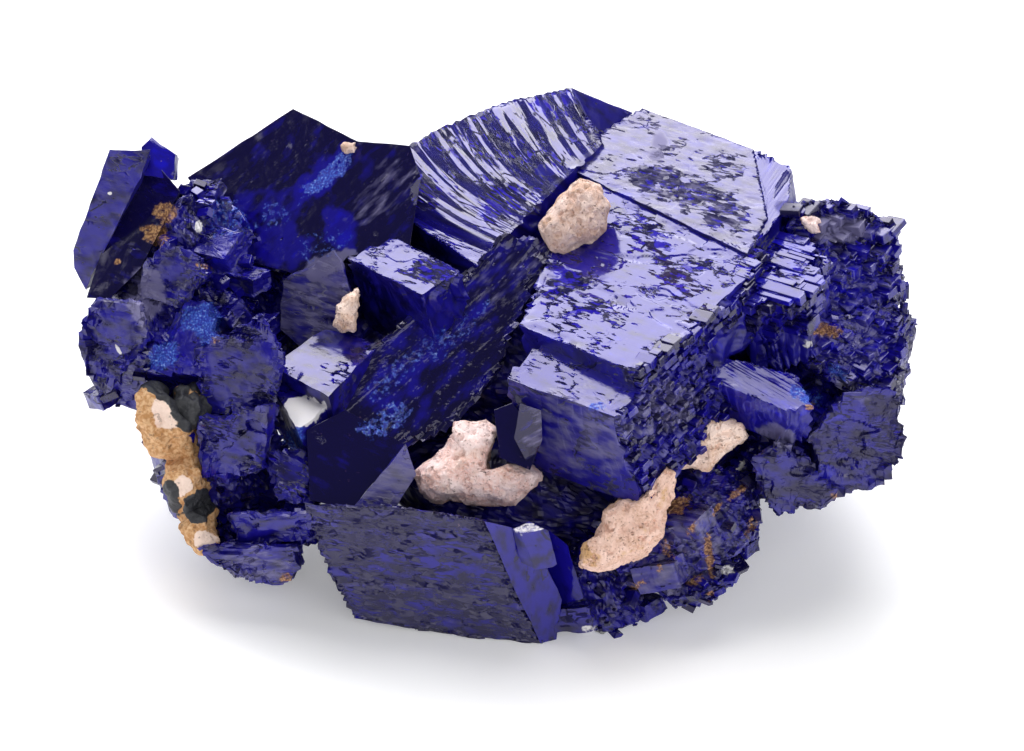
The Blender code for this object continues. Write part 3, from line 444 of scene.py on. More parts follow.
PATCHES = (
    # Iron stains at the left, then at the right, then the streaks of the band at the lower right.
    Patch(Mark.RUST, -32.1, 12.6, 1.3, 1.2),
    Patch(Mark.RUST, -31.2, 14.6, 1.1, 1.0),
    Patch(Mark.RUST, -35.5, 10.2, 0.4, 0.35),
    Patch(Mark.RUST, -27.8, 9.8, 0.8, 0.3, 1.0, -0.3),
    Patch(Mark.RUST, -26.6, 3.2, 0.4, 0.25),
    Patch(Mark.RUST, -20.2, -18.2, 0.7, 0.5),
    Patch(Mark.RUST, 28.2, 4.1, 1.7, 0.8, 1.0, -0.1),
    Patch(Mark.RUST, 26.8, -2.8, 0.45, 0.35),
    Patch(Mark.RUST, 29.2, -10.7, 0.6, 0.4),
    Patch(Mark.RUST, 17.8, -16.2, 0.45, 2.1, 1.0, 0.12),
    Patch(Mark.RUST, 14.0, -15.7, 0.4, 1.3, 0.8, 0.3),
    Patch(Mark.RUST, 16.5, -18.5, 1.0, 0.5, 0.9, 0.4),
    Patch(Mark.RUST, 18.0, -19.6, 0.7, 0.3, 0.8),
    Patch(Mark.RUST, 20.3, -10.5, 1.5, 0.4, 0.9, 0.7),
    Patch(Mark.RUST, 11.2, -18.9, 1.1, 0.35, 0.9, 0.6),
    Patch(Mark.RUST, 18.4, -12.1, 0.3, 0.8, 0.9, -0.5),
    Patch(Mark.RUST, 15.1, -11.6, 1.5, 0.8, 1.0, 0.6),
    Patch(Mark.RUST, 13.2, -17.4, 0.5, 0.5, 0.8),
    Patch(Mark.RUST, 21.6, -13.4, 0.5, 1.4, 0.7, -0.4),
    Patch(Mark.RUST, 16.3, -13.6, 1.2, 0.4, 0.8, 0.9),
    # Whitish spots, and gray films that are partly real dull film and partly painted sheen.
    Patch(Mark.PALE, -36.2, 16.4, 0.3, 0.3),
    Patch(Mark.PALE, -28.2, 13.4, 0.45, 0.7),
    Patch(Mark.PALE, -35.4, 2.3, 0.25, 0.7, 1.0, 0.5),
    Patch(Mark.PALE, 19.4, -17.5, 0.8, 0.6, 0.7),
    Patch(Mark.PALE, 6.9, -22.8, 0.9, 0.5, 0.7),
    Patch(Mark.PALE, 20.7, -8.1, 0.3, 0.6, 0.9, -0.5),
    # Painted highlight: this pale patch whitens the lowest left plate where its face would mirror the light.
    Patch(Mark.PALE, -19.0, -3.1, 2.1, 1.6, 1.3),
    Patch(Mark.PALE, 26.6, 2.8, 0.6, 0.5, 0.8),
    Patch(Mark.PALE, 1.6, -13.8, 1.5, 0.9, 0.6),
    Patch(Mark.FILM, 29.9, 13.1, 2.4, 1.3),
    Patch(Mark.FILM, -33.0, 6.8, 1.8, 3.0, 0.8),
    Patch(Mark.FILM, 13.3, 21.2, 0.9, 0.8, 1.3),
    Patch(Mark.MATTE, 13.3, 21.2, 0.9, 0.8, 1.3),
    Patch(Mark.FILM, 12.9, 19.8, 0.8, 0.6, 1.3),
    Patch(Mark.MATTE, 12.9, 19.8, 0.8, 0.6, 1.3),
    Patch(Mark.MATTE, 24.9, 15.1, 1.3, 0.9, 1.3),
    Patch(Mark.FILM, 23.8, -5.4, 2.0, 1.0, 0.8, -0.5),
    # Dense pits on the bright faces.
    Patch(Mark.PITS, 13.6, 17.2, 4.4, 1.6, 0.90, -0.35),
    Patch(Mark.PITS, 17.4, 15.6, 4.6, 2.0, 0.78, -0.45),
    Patch(Mark.PITS, 18.8, 18.8, 2.2, 1.6, 0.70, -0.5),
    Patch(Mark.PITS, 7.4, 6.0, 3.2, 1.6, 0.66, -0.4),
    Patch(Mark.PITS, 15.6, 9.4, 4.0, 3.0, 0.68, -0.5),
    Patch(Mark.PITS, 12.0, 13.0, 4.2, 1.5, 0.76, -0.5),
    Patch(Mark.PITS, 5.0, 8.6, 2.2, 1.4, 0.76),
    Patch(Mark.FILM, 13.2, -2.8, 4.4, 3.0, 0.45, 0.7),
    Patch(Mark.PITS, -7.0, 9.3, 3.0, 1.4, 0.85, -0.3),
    Patch(Mark.PITS, -0.8, 15.3, 2.6, 2.2, 0.75),
    Patch(Mark.PITS, -7.8, 16.7, 1.6, 2.6, 0.72),
    Patch(Mark.PITS, 9.8, 0.0, 2.6, 1.2, 0.60, -0.4),
    Patch(Mark.PITS, 22.8, 10.6, 3.0, 2.6, 0.66),
    Patch(Mark.BANDS, 24.4, 17.0, 0.9, 1.8, 0.55, -0.2),
    # Among these gray films, those on the dark crystal (-11.4, 16.6), the long blade's top (-0.4, 9.2), the left foot
    # (-23.6, -17.0) and the druse (30.4, 5.0) are painted sheen.
    Patch(Mark.FILM, -11.4, 16.6, 2.2, 4.6, 0.38, -0.7),
    Patch(Mark.FILM, -0.4, 9.2, 2.6, 4.0, 0.30, -0.9),
    Patch(Mark.FILM, 6.4, -5.0, 5.4, 4.2, 0.48, -0.4),
    Patch(Mark.FILM, -23.6, -17.0, 4.4, 1.8, 0.50),
    Patch(Mark.FILM, 30.4, 5.0, 5.0, 8.0, 0.38),
    Patch(Mark.FILM, 14.5, -16.0, 7.5, 4.5, 0.45, 0.5),
    Patch(Mark.FILM, -16.4, 10.0, 2.6, 1.3, 0.9, 0.4),
    # Vivid and powdery blue.
    Patch(Mark.AZURE, -27.8, 4.8, 1.7, 2.0, 1.0, 0.7),
    Patch(Mark.AZURE, -31.2, 1.8, 1.9, 1.2, 0.9, 0.7),
    Patch(Mark.AZURE, -25.8, 14.0, 2.2, 2.4, 0.5),
    Patch(Mark.AZURE, -16.2, 18.4, 3.2, 0.9, 0.75, 0.7),
    Patch(Mark.AZURE, -19.6, -5.4, 1.2, 1.4, 0.8),
    Patch(Mark.AZURE, -11.4, -4.2, 2.8, 1.2, 0.6, 0.5),
    Patch(Mark.AZURE, -9.5, 1.0, 5.5, 1.0, 0.42, 0.72),
    Patch(Mark.AZURE, -5.0, 3.6, 4.5, 0.8, 0.42, 0.80),
    Patch(Mark.BLUE, -8.0, 2.0, 7.0, 2.6, 0.45, 0.75),
    Patch(Mark.AZURE, 7.8, -2.8, 0.8, 0.5, 0.9),
    Patch(Mark.AZURE, 26.5, -1.8, 1.7, 0.8, 0.8, -0.5),
    Patch(Mark.AZURE, 29.5, 0.3, 1.6, 0.6, 0.8, -0.6),
    Patch(Mark.BLUE, -25.4, 11.0, 2.4, 4.0, 0.8),
    Patch(Mark.BLUE, -20.6, 11.6, 3.2, 2.2, 0.70),
    Patch(Mark.BLUE, -15.6, 13.2, 1.6, 2.4, 0.85, 0.3),
    Patch(Mark.BLUE, -22.0, 15.4, 3.6, 1.8, 0.50),
    Patch(Mark.BLUE, -17.0, 18.0, 3.8, 1.3, 0.80, 0.7),
    Patch(Mark.AZURE, -21.8, 14.4, 2.6, 1.2, 0.42, 0.4),
    Patch(Mark.AZURE, -17.0, 11.8, 3.0, 1.6, 0.40, 0.2),
    Patch(Mark.BLUE, -31.4, 20.0, 1.2, 1.4),
    Patch(Mark.BLUE, -2.2, 14.8, 1.3, 1.3),
    Patch(Mark.BLUE, 3.0, 18.4, 1.1, 0.6),
    Patch(Mark.BLUE, 4.9, 25.1, 1.7, 1.0),
    Patch(Mark.BLUE, 2.5, 24.2, 1.0, 0.6),
    Patch(Mark.BLUE, 4.7, 9.1, 1.7, 1.2),
    Patch(Mark.BLUE, 13.6, 11.8, 1.3, 0.6, 1.0, -0.4),
    Patch(Mark.BLUE, 10.0, 16.0, 1.6, 0.7),
    Patch(Mark.BLUE, 15.0, 7.8, 1.4, 0.7),
    Patch(Mark.BLUE, -6.0, -16.3, 3.8, 2.2, 0.45),
    Patch(Mark.BLUE, 27.5, -2.8, 4.5, 1.2, 1.0, -0.2),
    Patch(Mark.BLUE, 31.0, 5.0, 4.6, 7.0, 0.85),
    Patch(Mark.BLUE, 28.1, -8.5, 1.0, 0.8),
)

# Placing


def sight_point(across: np.ndarray, up: np.ndarray, away: np.ndarray) -> np.ndarray:
    """A point seen at (across, up) that lies the given distance past the middle of the view."""
    across, up, away = (np.asarray(value, float)[..., None] for value in (across, up, away))
    return VIEW_TARGET + away * AWAY + (1.0 + away / VIEW_DISTANCE) * (across * ACROSS + up * UPWARD)


def sight_coords(points: np.ndarray) -> tuple[np.ndarray, np.ndarray, np.ndarray]:
    """Where points are seen: across, up, and how far past the middle of the view."""
    offset = points - VIEW_TARGET
    away = offset @ AWAY
    spread = 1.0 + away / VIEW_DISTANCE
    return offset @ ACROSS / spread, offset @ UPWARD / spread, away


def lattice(facing: np.ndarray, run: np.ndarray = STEP_RUN) -> np.ndarray:
    """Rows for a crystal's own directions: along its run in the plane of its face, across it, and out of it."""
    along = unit(*(run - (run @ facing) * facing))
    return np.array((along, np.cross(facing, along), facing))


LATTICE = lattice(STEP_TOP)


def crystal_corners(crystal: Crystal) -> np.ndarray:
    """Carry a crystal's outline back along the sight lines onto the plane of its face."""
    outline = np.array(crystal.outline)
    if crystal.level is None:
        anchor = sight_point(*outline[0], crystal.depth)
    else:
        anchor = sight_point(*STEP_DATUM) + crystal.level * crystal.facing
    seen = outline[:, :1] * ACROSS + outline[:, 1:] * UPWARD
    reach = (anchor - VIEW_TARGET - seen) @ crystal.facing
    away = reach / (crystal.facing @ AWAY + seen @ crystal.facing / VIEW_DISTANCE)
    return sight_point(outline[:, 0], outline[:, 1], away)


def lump_planes(lump: Lump) -> tuple[np.ndarray, np.ndarray]:
    """The outward directions and distances of a lump's faces, on a ball of radius one."""
    chance = np.random.default_rng(lump.seed)
    directions, distances = [], []
    for index in range(lump.faces):
        height = 1.0 - 2.0 * (index + 0.5) / lump.faces
        ring = sqrt(1.0 - height * height)
        angle = index * GOLDEN_TURN + chance.uniform(-0.3, 0.3)
        directions.append((ring * cos(angle), ring * sin(angle), height))
        distances.append(0.9 + chance.uniform(-lump.unevenness, lump.unevenness))
    return np.array(directions), np.array(distances)


def lump_turn(lump: Lump) -> np.ndarray:
    """The turn of a lump as a matrix: about its own X, then Y, then Z."""
    return np.array(Euler(lump.turn, "XYZ").to_matrix())


# Noise


def chance_at(cells: np.ndarray, seed: int) -> np.ndarray:
    """A fixed random share for every whole-number place: its three numbers are mixed and hashed."""
    mixed = cells[..., 0] * 73856093 ^ cells[..., 1] * 19349663 ^ cells[..., 2] * 83492791 ^ seed * 265443576
    mixed = (mixed ^ (mixed >> 13)) * 1274126177 & 0xFFFFFFFF
    mixed = (mixed ^ (mixed >> 15)) * 2246822519 & 0xFFFFFFFF
    return ((mixed ^ (mixed >> 16)) & 0xFFFFFF) / 0x1000000


def ripple(points: np.ndarray, seed: int, octaves: int = 1) -> np.ndarray:
    """Smooth noise from none to one: chances at the cube's corners, blended by t*t*(3-2t), halved per octave."""
    total = np.zeros(points.shape[:-1])
    weight, weights = 1.0, 0.0
    for octave in range(octaves):
        scaled = points * 2.0 ** octave + 17.3 * octave
        low = np.floor(scaled).astype(np.int64)
        blend = scaled - low
        blend = blend * blend * (3.0 - 2.0 * blend)
        value = np.zeros_like(total)
        for corner in np.ndindex(2, 2, 2):
            share = np.where(np.array(corner) == 1, blend, 1.0 - blend).prod(axis=-1)
            value += share * chance_at(low + np.array(corner), seed + octave)
        total += weight * value
        weights += weight
        weight *= 0.5
    return total / weights


def block_steps(place: np.ndarray, size: np.ndarray, seed: int) -> np.ndarray:
    """How deep each point of a blocky growth lies, from none to one.

    Space is cut into blocks along the lattice, row by row shifted by chance, and every block has its own depth.
    Smaller blocks at 0.45 of the size add a third to it.
    """
    depth = np.zeros(place.shape[:-1])
    for scale, weight in ((1.0, 0.7), (0.45, 0.3)):
        scaled = place / (size * scale)
        row = np.floor(scaled[..., 1:2])
        row_cells = np.concatenate((row, row, row), axis=-1).astype(np.int64)
        shifted = scaled + np.array((1.0, 0.0, 0.0)) * chance_at(row_cells, seed)[..., None]
        depth += weight * chance_at(np.floor(shifted).astype(np.int64), seed + 1)
    return depth


def ramp(values: np.ndarray, low: float, high: float) -> np.ndarray:
    """Rise smoothly from none at low to one at high."""
    share = np.clip((values - low) / (high - low), 0.0, 1.0)
    return share * share * (3.0 - 2.0 * share)


def stairs(values: np.ndarray, riser: float = 0.16) -> np.ndarray:
    """Whole steps with short steep risers: the whole part, and a ramp over the last share of each step."""
    whole = np.floor(values)
    return whole + ramp(values - whole, 1.0 - riser, 1.0)


# Surfaces


@dataclass
class Shell:
    """A closed surface: points, four- and three-sided faces, nearness to an edge, and marks at each point.

    grain is the place of each point in the crystal's own directions, which lays out its etching.
    """

    points: np.ndarray
    quads: np.ndarray
    triangles: np.ndarray
    rim: np.ndarray
    marks: dict[Mark, np.ndarray] = field(default_factory=dict)
    grain: np.ndarray | None = None

    def normals(self) -> np.ndarray:
        """The mean direction of the faces around each point."""
        total = np.zeros_like(self.points)
        for faces in (self.quads, self.triangles):
            corner = self.points[faces]
            if faces.shape[1] == 4:
                facing = np.cross(corner[:, 2] - corner[:, 0], corner[:, 3] - corner[:, 1])
            else:
                facing = np.cross(corner[:, 1] - corner[:, 0], corner[:, 2] - corner[:, 0])
            for column in range(faces.shape[1]):
                np.add.at(total, faces[:, column], facing)
        return total / np.maximum(np.linalg.norm(total, axis=1, keepdims=True), 1e-12)


def closed_shell(rings: np.ndarray, first: np.ndarray, last: np.ndarray, rim: np.ndarray) -> Shell:
    """Join rings of points around an axis, and close both ends with a pole.

    Args:
        rings: points on a grid, one row for each ring and one column for each place around it.
        first: the pole before the first ring.
        last: the pole after the last ring.
        rim: for each ring, how near it lies to the edge of the face or on the side walls.

    Returns:
        The closed surface. The last column meets the first, so there is no seam.
    """
    rows, columns = rings.shape[:2]
    number = np.arange(rows * columns).reshape(rows, columns)
    after = np.roll(number, -1, axis=1)
    quads = np.stack((number[:-1], number[1:], after[1:], after[:-1]), axis=-1).reshape(-1, 4)
    start, end = rows * columns, rows * columns + 1
    head = np.stack((np.full(columns, start), number[0], after[0]), axis=-1)
    tail = np.stack((np.full(columns, end), after[-1], number[-1]), axis=-1)
    points = np.concatenate((rings.reshape(-1, 3), first[None], last[None]))
    edge = np.concatenate((np.repeat(rim, columns), rim[[0, -1]]))
    shell = Shell(points, quads, np.concatenate((head, tail)), edge)
    middle = points.mean(axis=0)
    outward = ((points - middle) * shell.normals()).sum()
    if outward < 0:
        shell.quads = shell.quads[:, ::-1]
        shell.triangles = shell.triangles[:, ::-1]
    return shell


# A crystal's mesh: rings down a wall for a wall one cell deep, how they crowd towards the seen edge, and the
# width of the cut edge.
WALL_RINGS = 4.2
WALL_CROWDING = 1.4
EDGE_CUT = 0.02


def drum(front: np.ndarray, back: np.ndarray, cell: float) -> Shell:
    """A crystal between two outlines.

    A column runs from the middle of the front face to its edge, down the side and to the middle of the back.
    Its place around the outline is the second parameter, and columns land on every corner. Face points are
    middle + t * (edge - middle), wall points are front edge + s * (back edge - front edge), and the edge
    itself is cut by a narrow bevel.
    """
    after_front, after_back = np.roll(front, -1, axis=0), np.roll(back, -1, axis=0)
    lengths = np.linalg.norm(after_front - front, axis=1)
    counts = np.maximum(2, np.ceil(lengths / cell).astype(int))
    edge = np.repeat(np.arange(len(front)), counts)
    share = np.concatenate([np.arange(count) / count for count in counts])[:, None]
    front_edge = front[edge] * (1 - share) + after_front[edge] * share
    back_edge = back[edge] * (1 - share) + after_back[edge] * share
    front_middle, back_middle = front_edge.mean(axis=0), back_edge.mean(axis=0)
    radius = np.linalg.norm(front_edge - front_middle, axis=1).mean()
    depth = np.linalg.norm(back_edge - front_edge, axis=1).mean()
    face_rings = max(5, int(0.9 * radius / cell))
    wall_rings = max(6, int(WALL_RINGS * sqrt(depth / cell)))
    t = (np.arange(1, face_rings) / face_rings)[:, None, None]
    down = np.linspace(0.0, 1.0, wall_rings) ** WALL_CROWDING
    s = (EDGE_CUT / depth + (1.0 - EDGE_CUT / depth) * down)[:, None, None]
    b = np.linspace(0.8, 0.2, 3)[:, None, None]
    inset = front_edge + (front_middle - front_edge) * (EDGE_CUT / radius)
    rings = np.concatenate((
        front_middle + t * (inset - front_middle),
        inset[None],
        front_edge + s * (back_edge - front_edge),
        back_middle + b * (back_edge - back_middle),
    ))
    near_edge = ramp(t[:, 0, 0], 1.0 - 1.6 / radius, 1.0)
    rim = np.concatenate((near_edge, np.ones(1 + wall_rings + len(b))))
    return closed_shell(rings, front_middle, back_middle, rim)


def lump_reach(directions: np.ndarray, lump: Lump, roundness: float = 0.0) -> np.ndarray:
    """How far a lump's surface lies along each direction.

    The faces cut a ball at distance / (face . direction), and the least of these is the surface. With some
    roundness, a power mean of them rounds the edges.
    """
    faces, distances = lump_planes(lump)
    nearness = np.maximum(directions @ faces.T / distances, 1e-3)
    if roundness == 0.0:
        return 1.0 / nearness.max(axis=-1)
    return (nearness ** (1.0 / roundness)).sum(axis=-1) ** -roundness


def lump_shell(lump: Lump, cell: float, roundness: float = 0.0) -> Shell:
    """A lump as a ball of directions, each pushed out to the surface, stretched, turned and placed.

    A direction at angle u around and v down is (sin v cos u, sin v sin u, cos v).
    """
    around = int(2.0 * pi * max(lump.half_size) / cell)
    down = int(pi * max(lump.half_size) * 0.9 / cell)
    u = np.arange(around) * 2.0 * pi / around
    v = (np.arange(1, down) * pi / down)[:, None]
    rings = np.stack((np.sin(v) * np.cos(u), np.sin(v) * np.sin(u), np.cos(v) * np.ones_like(u)), axis=-1)
    turn = lump_turn(lump)
    middle = sight_point(*lump.middle)

    def placed(directions: np.ndarray) -> np.ndarray:
        """Surface points for directions."""
        reach = lump_reach(directions, lump, roundness)[..., None]
        return middle + (directions * reach * np.array(lump.half_size)) @ turn.T

    top, bottom = np.array((0.0, 0.0, 1.0)), np.array((0.0, 0.0, -1.0))
    return closed_shell(placed(rings), placed(top), placed(bottom), np.ones(down - 1))


TABLET_BEVEL = 0.04


def tablet_template() -> tuple[np.ndarray, np.ndarray, np.ndarray]:
    """A block of side one with cut edges and corners: 24 points, 18 four-sided and 8 three-sided faces."""
    signs = np.array(list(np.ndindex(2, 2, 2))) * 2 - 1
    points = []
    for axis in range(3):
        inner = signs * (0.5 - TABLET_BEVEL)
        inner[:, axis] = signs[:, axis] * 0.5
        points.append(inner)
    points = np.stack(points, axis=1).reshape(-1, 3)
    number = {tuple(sign): 3 * index for index, sign in enumerate(signs)}
    quads, triangles = [], [[3 * index, 3 * index + 1, 3 * index + 2] for index in range(8)]
    for axis in range(3):
        others = [other for other in range(3) if other != axis]
        for side in (-1, 1):
            ring = []
            for first, second in ((-1, -1), (1, -1), (1, 1), (-1, 1)):
                sign = [0, 0, 0]
                sign[axis], sign[others[0]], sign[others[1]] = side, first, second
                ring.append(number[tuple(sign)] + axis)
            quads.append(ring)
        for first in (-1, 1):
            for second in (-1, 1):
                low, high = [0, 0, 0], [0, 0, 0]
                low[axis], high[axis] = -1, 1
                low[others[0]] = high[others[0]] = first
                low[others[1]] = high[others[1]] = second
                a, b = number[tuple(low)], number[tuple(high)]
                quads.append([a + others[0], b + others[0], b + others[1], a + others[1]])
    quads, triangles = np.array(quads), np.array(triangles)
    for faces in (quads, triangles):
        corner = points[faces]
        facing = np.cross(corner[:, 1] - corner[:, 0], corner[:, 2] - corner[:, 0])
        inward = (facing * corner.mean(axis=1)).sum(axis=1) < 0
        faces[inward] = faces[inward][:, ::-1]
    return points, quads, triangles


def turned(angles: np.ndarray) -> np.ndarray:
    """Turn matrices for rows of three angles, each Rz Ry Rx."""
    (cx, cy, cz), (sx, sy, sz) = np.cos(angles).T, np.sin(angles).T
    return np.stack((
        np.stack((cy * cz, sx * sy * cz - cx * sz, cx * sy * cz + sx * sz), axis=-1),
        np.stack((cy * sz, sx * sy * sz + cx * cz, cx * sy * sz - sx * cz), axis=-1),
        np.stack((-sy, sx * cy, cx * cy), axis=-1),
    ), axis=-2)


def tablets(spots: np.ndarray, turns: np.ndarray, sizes: np.ndarray) -> Shell:
    """Many small tabular crystals at once: the template stretched by its size, turned and put on its spot."""
    points, quads, triangles = tablet_template()
    placed = np.einsum("nij,npj->npi", turns, points[None] * sizes[:, None]) + spots[:, None]
    offsets = (np.arange(len(spots)) * len(points))[:, None, None]
    return Shell(
        placed.reshape(-1, 3),
        (quads[None] + offsets).reshape(-1, 4),
        (triangles[None] + offsets).reshape(-1, 3),
        np.ones(len(spots) * len(points)),
    )


# Weathering


def flame_grain(points: np.ndarray) -> np.ndarray:
    """The place of points along and across bands that come down steeply and flatten towards the lower right.

    A band keeps across - (0.6 y + 0.0038 y^3) the same, with y the distance down from the peak, so bands draw
    together where they flatten.
    """
    across, up, away = sight_coords(points)
    down = 24.0 - up
    return np.stack((1.3 * down, across - 0.6 * down - 0.0038 * down ** 3, 0.1 * away), axis=-1)


def weathered(shell: Shell, relief: Relief, axes: np.ndarray, seed: int) -> Shell:
    """Grow and etch a crystal surface.

    In the crystal's own directions, points near edges snap towards whole steps with wandering offsets, which
    gives ragged rims. Then every point sinks along its normal by blocks, by terraces (stairs of broad noise),
    by grooves (folded noise, long along the run) and by even roughness.

    Args:
        shell: the plain surface, which is changed.
        relief: the forms and shares to give it.
        axes: the crystal's own directions, as rows.
        seed: the start of its chances.

    Returns:
        The same shell, with its marks and grain.
    """
    normals = shell.normals()
    place = shell.points @ axes.T
    wander = ripple(place * 0.35, seed, 2)
    for axis, size in enumerate(relief.ragged):
        if size > 0:
            scaled = place[:, axis] / size + 3.0 * wander + 0.31 * axis
            snapped = (stairs(scaled) + 0.5 - 3.0 * wander - 0.31 * axis) * size
            place[:, axis] += shell.rim * (snapped - place[:, axis])
    stray = np.stack([ripple(place / 1.7, seed + 31 + axis, 2) for axis in range(3)], axis=-1) - 0.5
    place += 2.0 * relief.wobble * shell.rim[:, None] * stray
    shell.points = place @ axes
    top = ramp(normals @ axes[2], 0.5, 0.9)
    depth = relief.rough * (ripple(place / relief.rough_size, seed + 5, 4) - 0.5)
    if relief.blocks > 0:
        share = np.clip((np.maximum(normals @ axes.T, 0.0) * relief.block_faces).sum(axis=1), 0.0, 1.0)
        depth += relief.blocks * ramp(share, 0.2, 0.6) * block_steps(place, np.array(relief.block_size), seed + 7)
    if relief.terrace > 0:
        broad = ripple(place / np.array((4.8, 2.1, 3.0)), seed + 11, 3)
        depth += relief.terrace * top * stairs(7.0 * np.maximum(broad - 0.45, 0.0), 0.1)
    if relief.grooves > 0:
        along = np.stack((place[:, 0] / 14.0, place[:, 1] / relief.groove_width, place[:, 2] / 3.0), axis=-1)
        folded = np.abs(2.0 * ripple(along, seed + 21, 3) - 1.0)
        depth += relief.grooves * (1.0 - ramp(folded, 0.0, 0.45))
    shell.points = shell.points - depth[:, None] * normals
    shell.grain = place + seed
    even = np.ones(len(place))
    shell.marks = {
        Mark.PITS: relief.wall_pits + (relief.pits - relief.wall_pits) * top,
        Mark.BANDS: relief.bands * top,
        Mark.BLUE: relief.blue * even,
        Mark.FILM: relief.film * top,
        Mark.GLINT: relief.glint * even,
        Mark.MATTE: relief.wall_matte + (relief.matte - relief.wall_matte) * top,
    }
    return shell


def patched(shell: Shell, patches: tuple) -> Shell:
    """Add patches: full inside each ragged oval on the side that is seen, fading at its edge."""
    across, up, away = sight_coords(shell.points)
    seen = shell.normals() @ AWAY < 0.2
    ragged = 1.1 * (ripple(shell.points / 1.3, 81, 4) - 0.5)
    for patch in patches:
        dx, dy = across - patch.across, up - patch.up
        along = (dx * cos(patch.turn) + dy * sin(patch.turn)) / patch.half_width
        over = (dy * cos(patch.turn) - dx * sin(patch.turn)) / patch.half_height
        share = patch.strength * (1.0 - ramp(np.hypot(along, over) + ragged, 0.6, 1.25)) * seen
        if share.max() > 0:
            shell.marks[patch.mark] = np.maximum(shell.marks.get(patch.mark, 0.0), share)
    return shell


# Objects


def mesh_object(name: str, shells: list[Shell], smooth: bool) -> bpy.types.Object:
    """Put shells into one mesh in metres, kept inside the specimen's box.

    Args:
        name: the object's name.
        shells: closed surfaces, in millimetres.
        smooth: whether faces are shaded as one curved surface.

    Returns:
        The object, with its marks and its grain as point attributes.
    """
    counts = np.cumsum([0] + [len(shell.points) for shell in shells])
    points = (np.concatenate([shell.points for shell in shells]) + TO_ORIGIN) * MM
    points = np.clip(points, np.array(CAD_BOX[0]), np.array(CAD_BOX[1]))
    quads = np.concatenate([shell.quads + start for shell, start in zip(shells, counts)])
    triangles = np.concatenate([shell.triangles + start for shell, start in zip(shells, counts)])
    data = bpy.data.meshes.new(name)
    data.vertices.add(len(points))
    data.vertices.foreach_set("co", points.astype(np.float32).ravel())
    data.loops.add(quads.size + triangles.size)
    data.loops.foreach_set("vertex_index", np.concatenate((quads.ravel(), triangles.ravel())).astype(np.int32))
    data.polygons.add(len(quads) + len(triangles))
    starts = np.concatenate((np.arange(len(quads)) * 4, quads.size + np.arange(len(triangles)) * 3))
    data.polygons.foreach_set("loop_start", starts.astype(np.int32))
    data.update(calc_edges=True)
    if smooth:
        data.shade_smooth()
    else:
        data.shade_flat()
    for mark in {mark for shell in shells for mark in shell.marks}:
        values = [shell.marks.get(mark, np.zeros(len(shell.points))) for shell in shells]
        layer = data.attributes.new(mark.value, "FLOAT", "POINT")
        layer.data.foreach_set("value", np.concatenate(values).astype(np.float32))
    grains = [shell.points if shell.grain is None else shell.grain for shell in shells]
    layer = data.attributes.new("grain", "FLOAT_VECTOR", "POINT")
    layer.data.foreach_set("vector", np.concatenate(grains).astype(np.float32).ravel())
    data.validate()
    piece = bpy.data.objects.new(name, data)
    bpy.context.scene.collection.objects.link(piece)
    return piece

# Materials


def linear(colour: str) -> tuple[float, float, float, float]:
    """An sRGB hex colour in linear light, with full alpha."""
    parts = [int(colour[index:index + 2], 16) / 255.0 for index in (1, 3, 5)]
    return (*(part / 12.92 if part <= 0.04045 else ((part + 0.055) / 1.055) ** 2.4 for part in parts), 1.0)


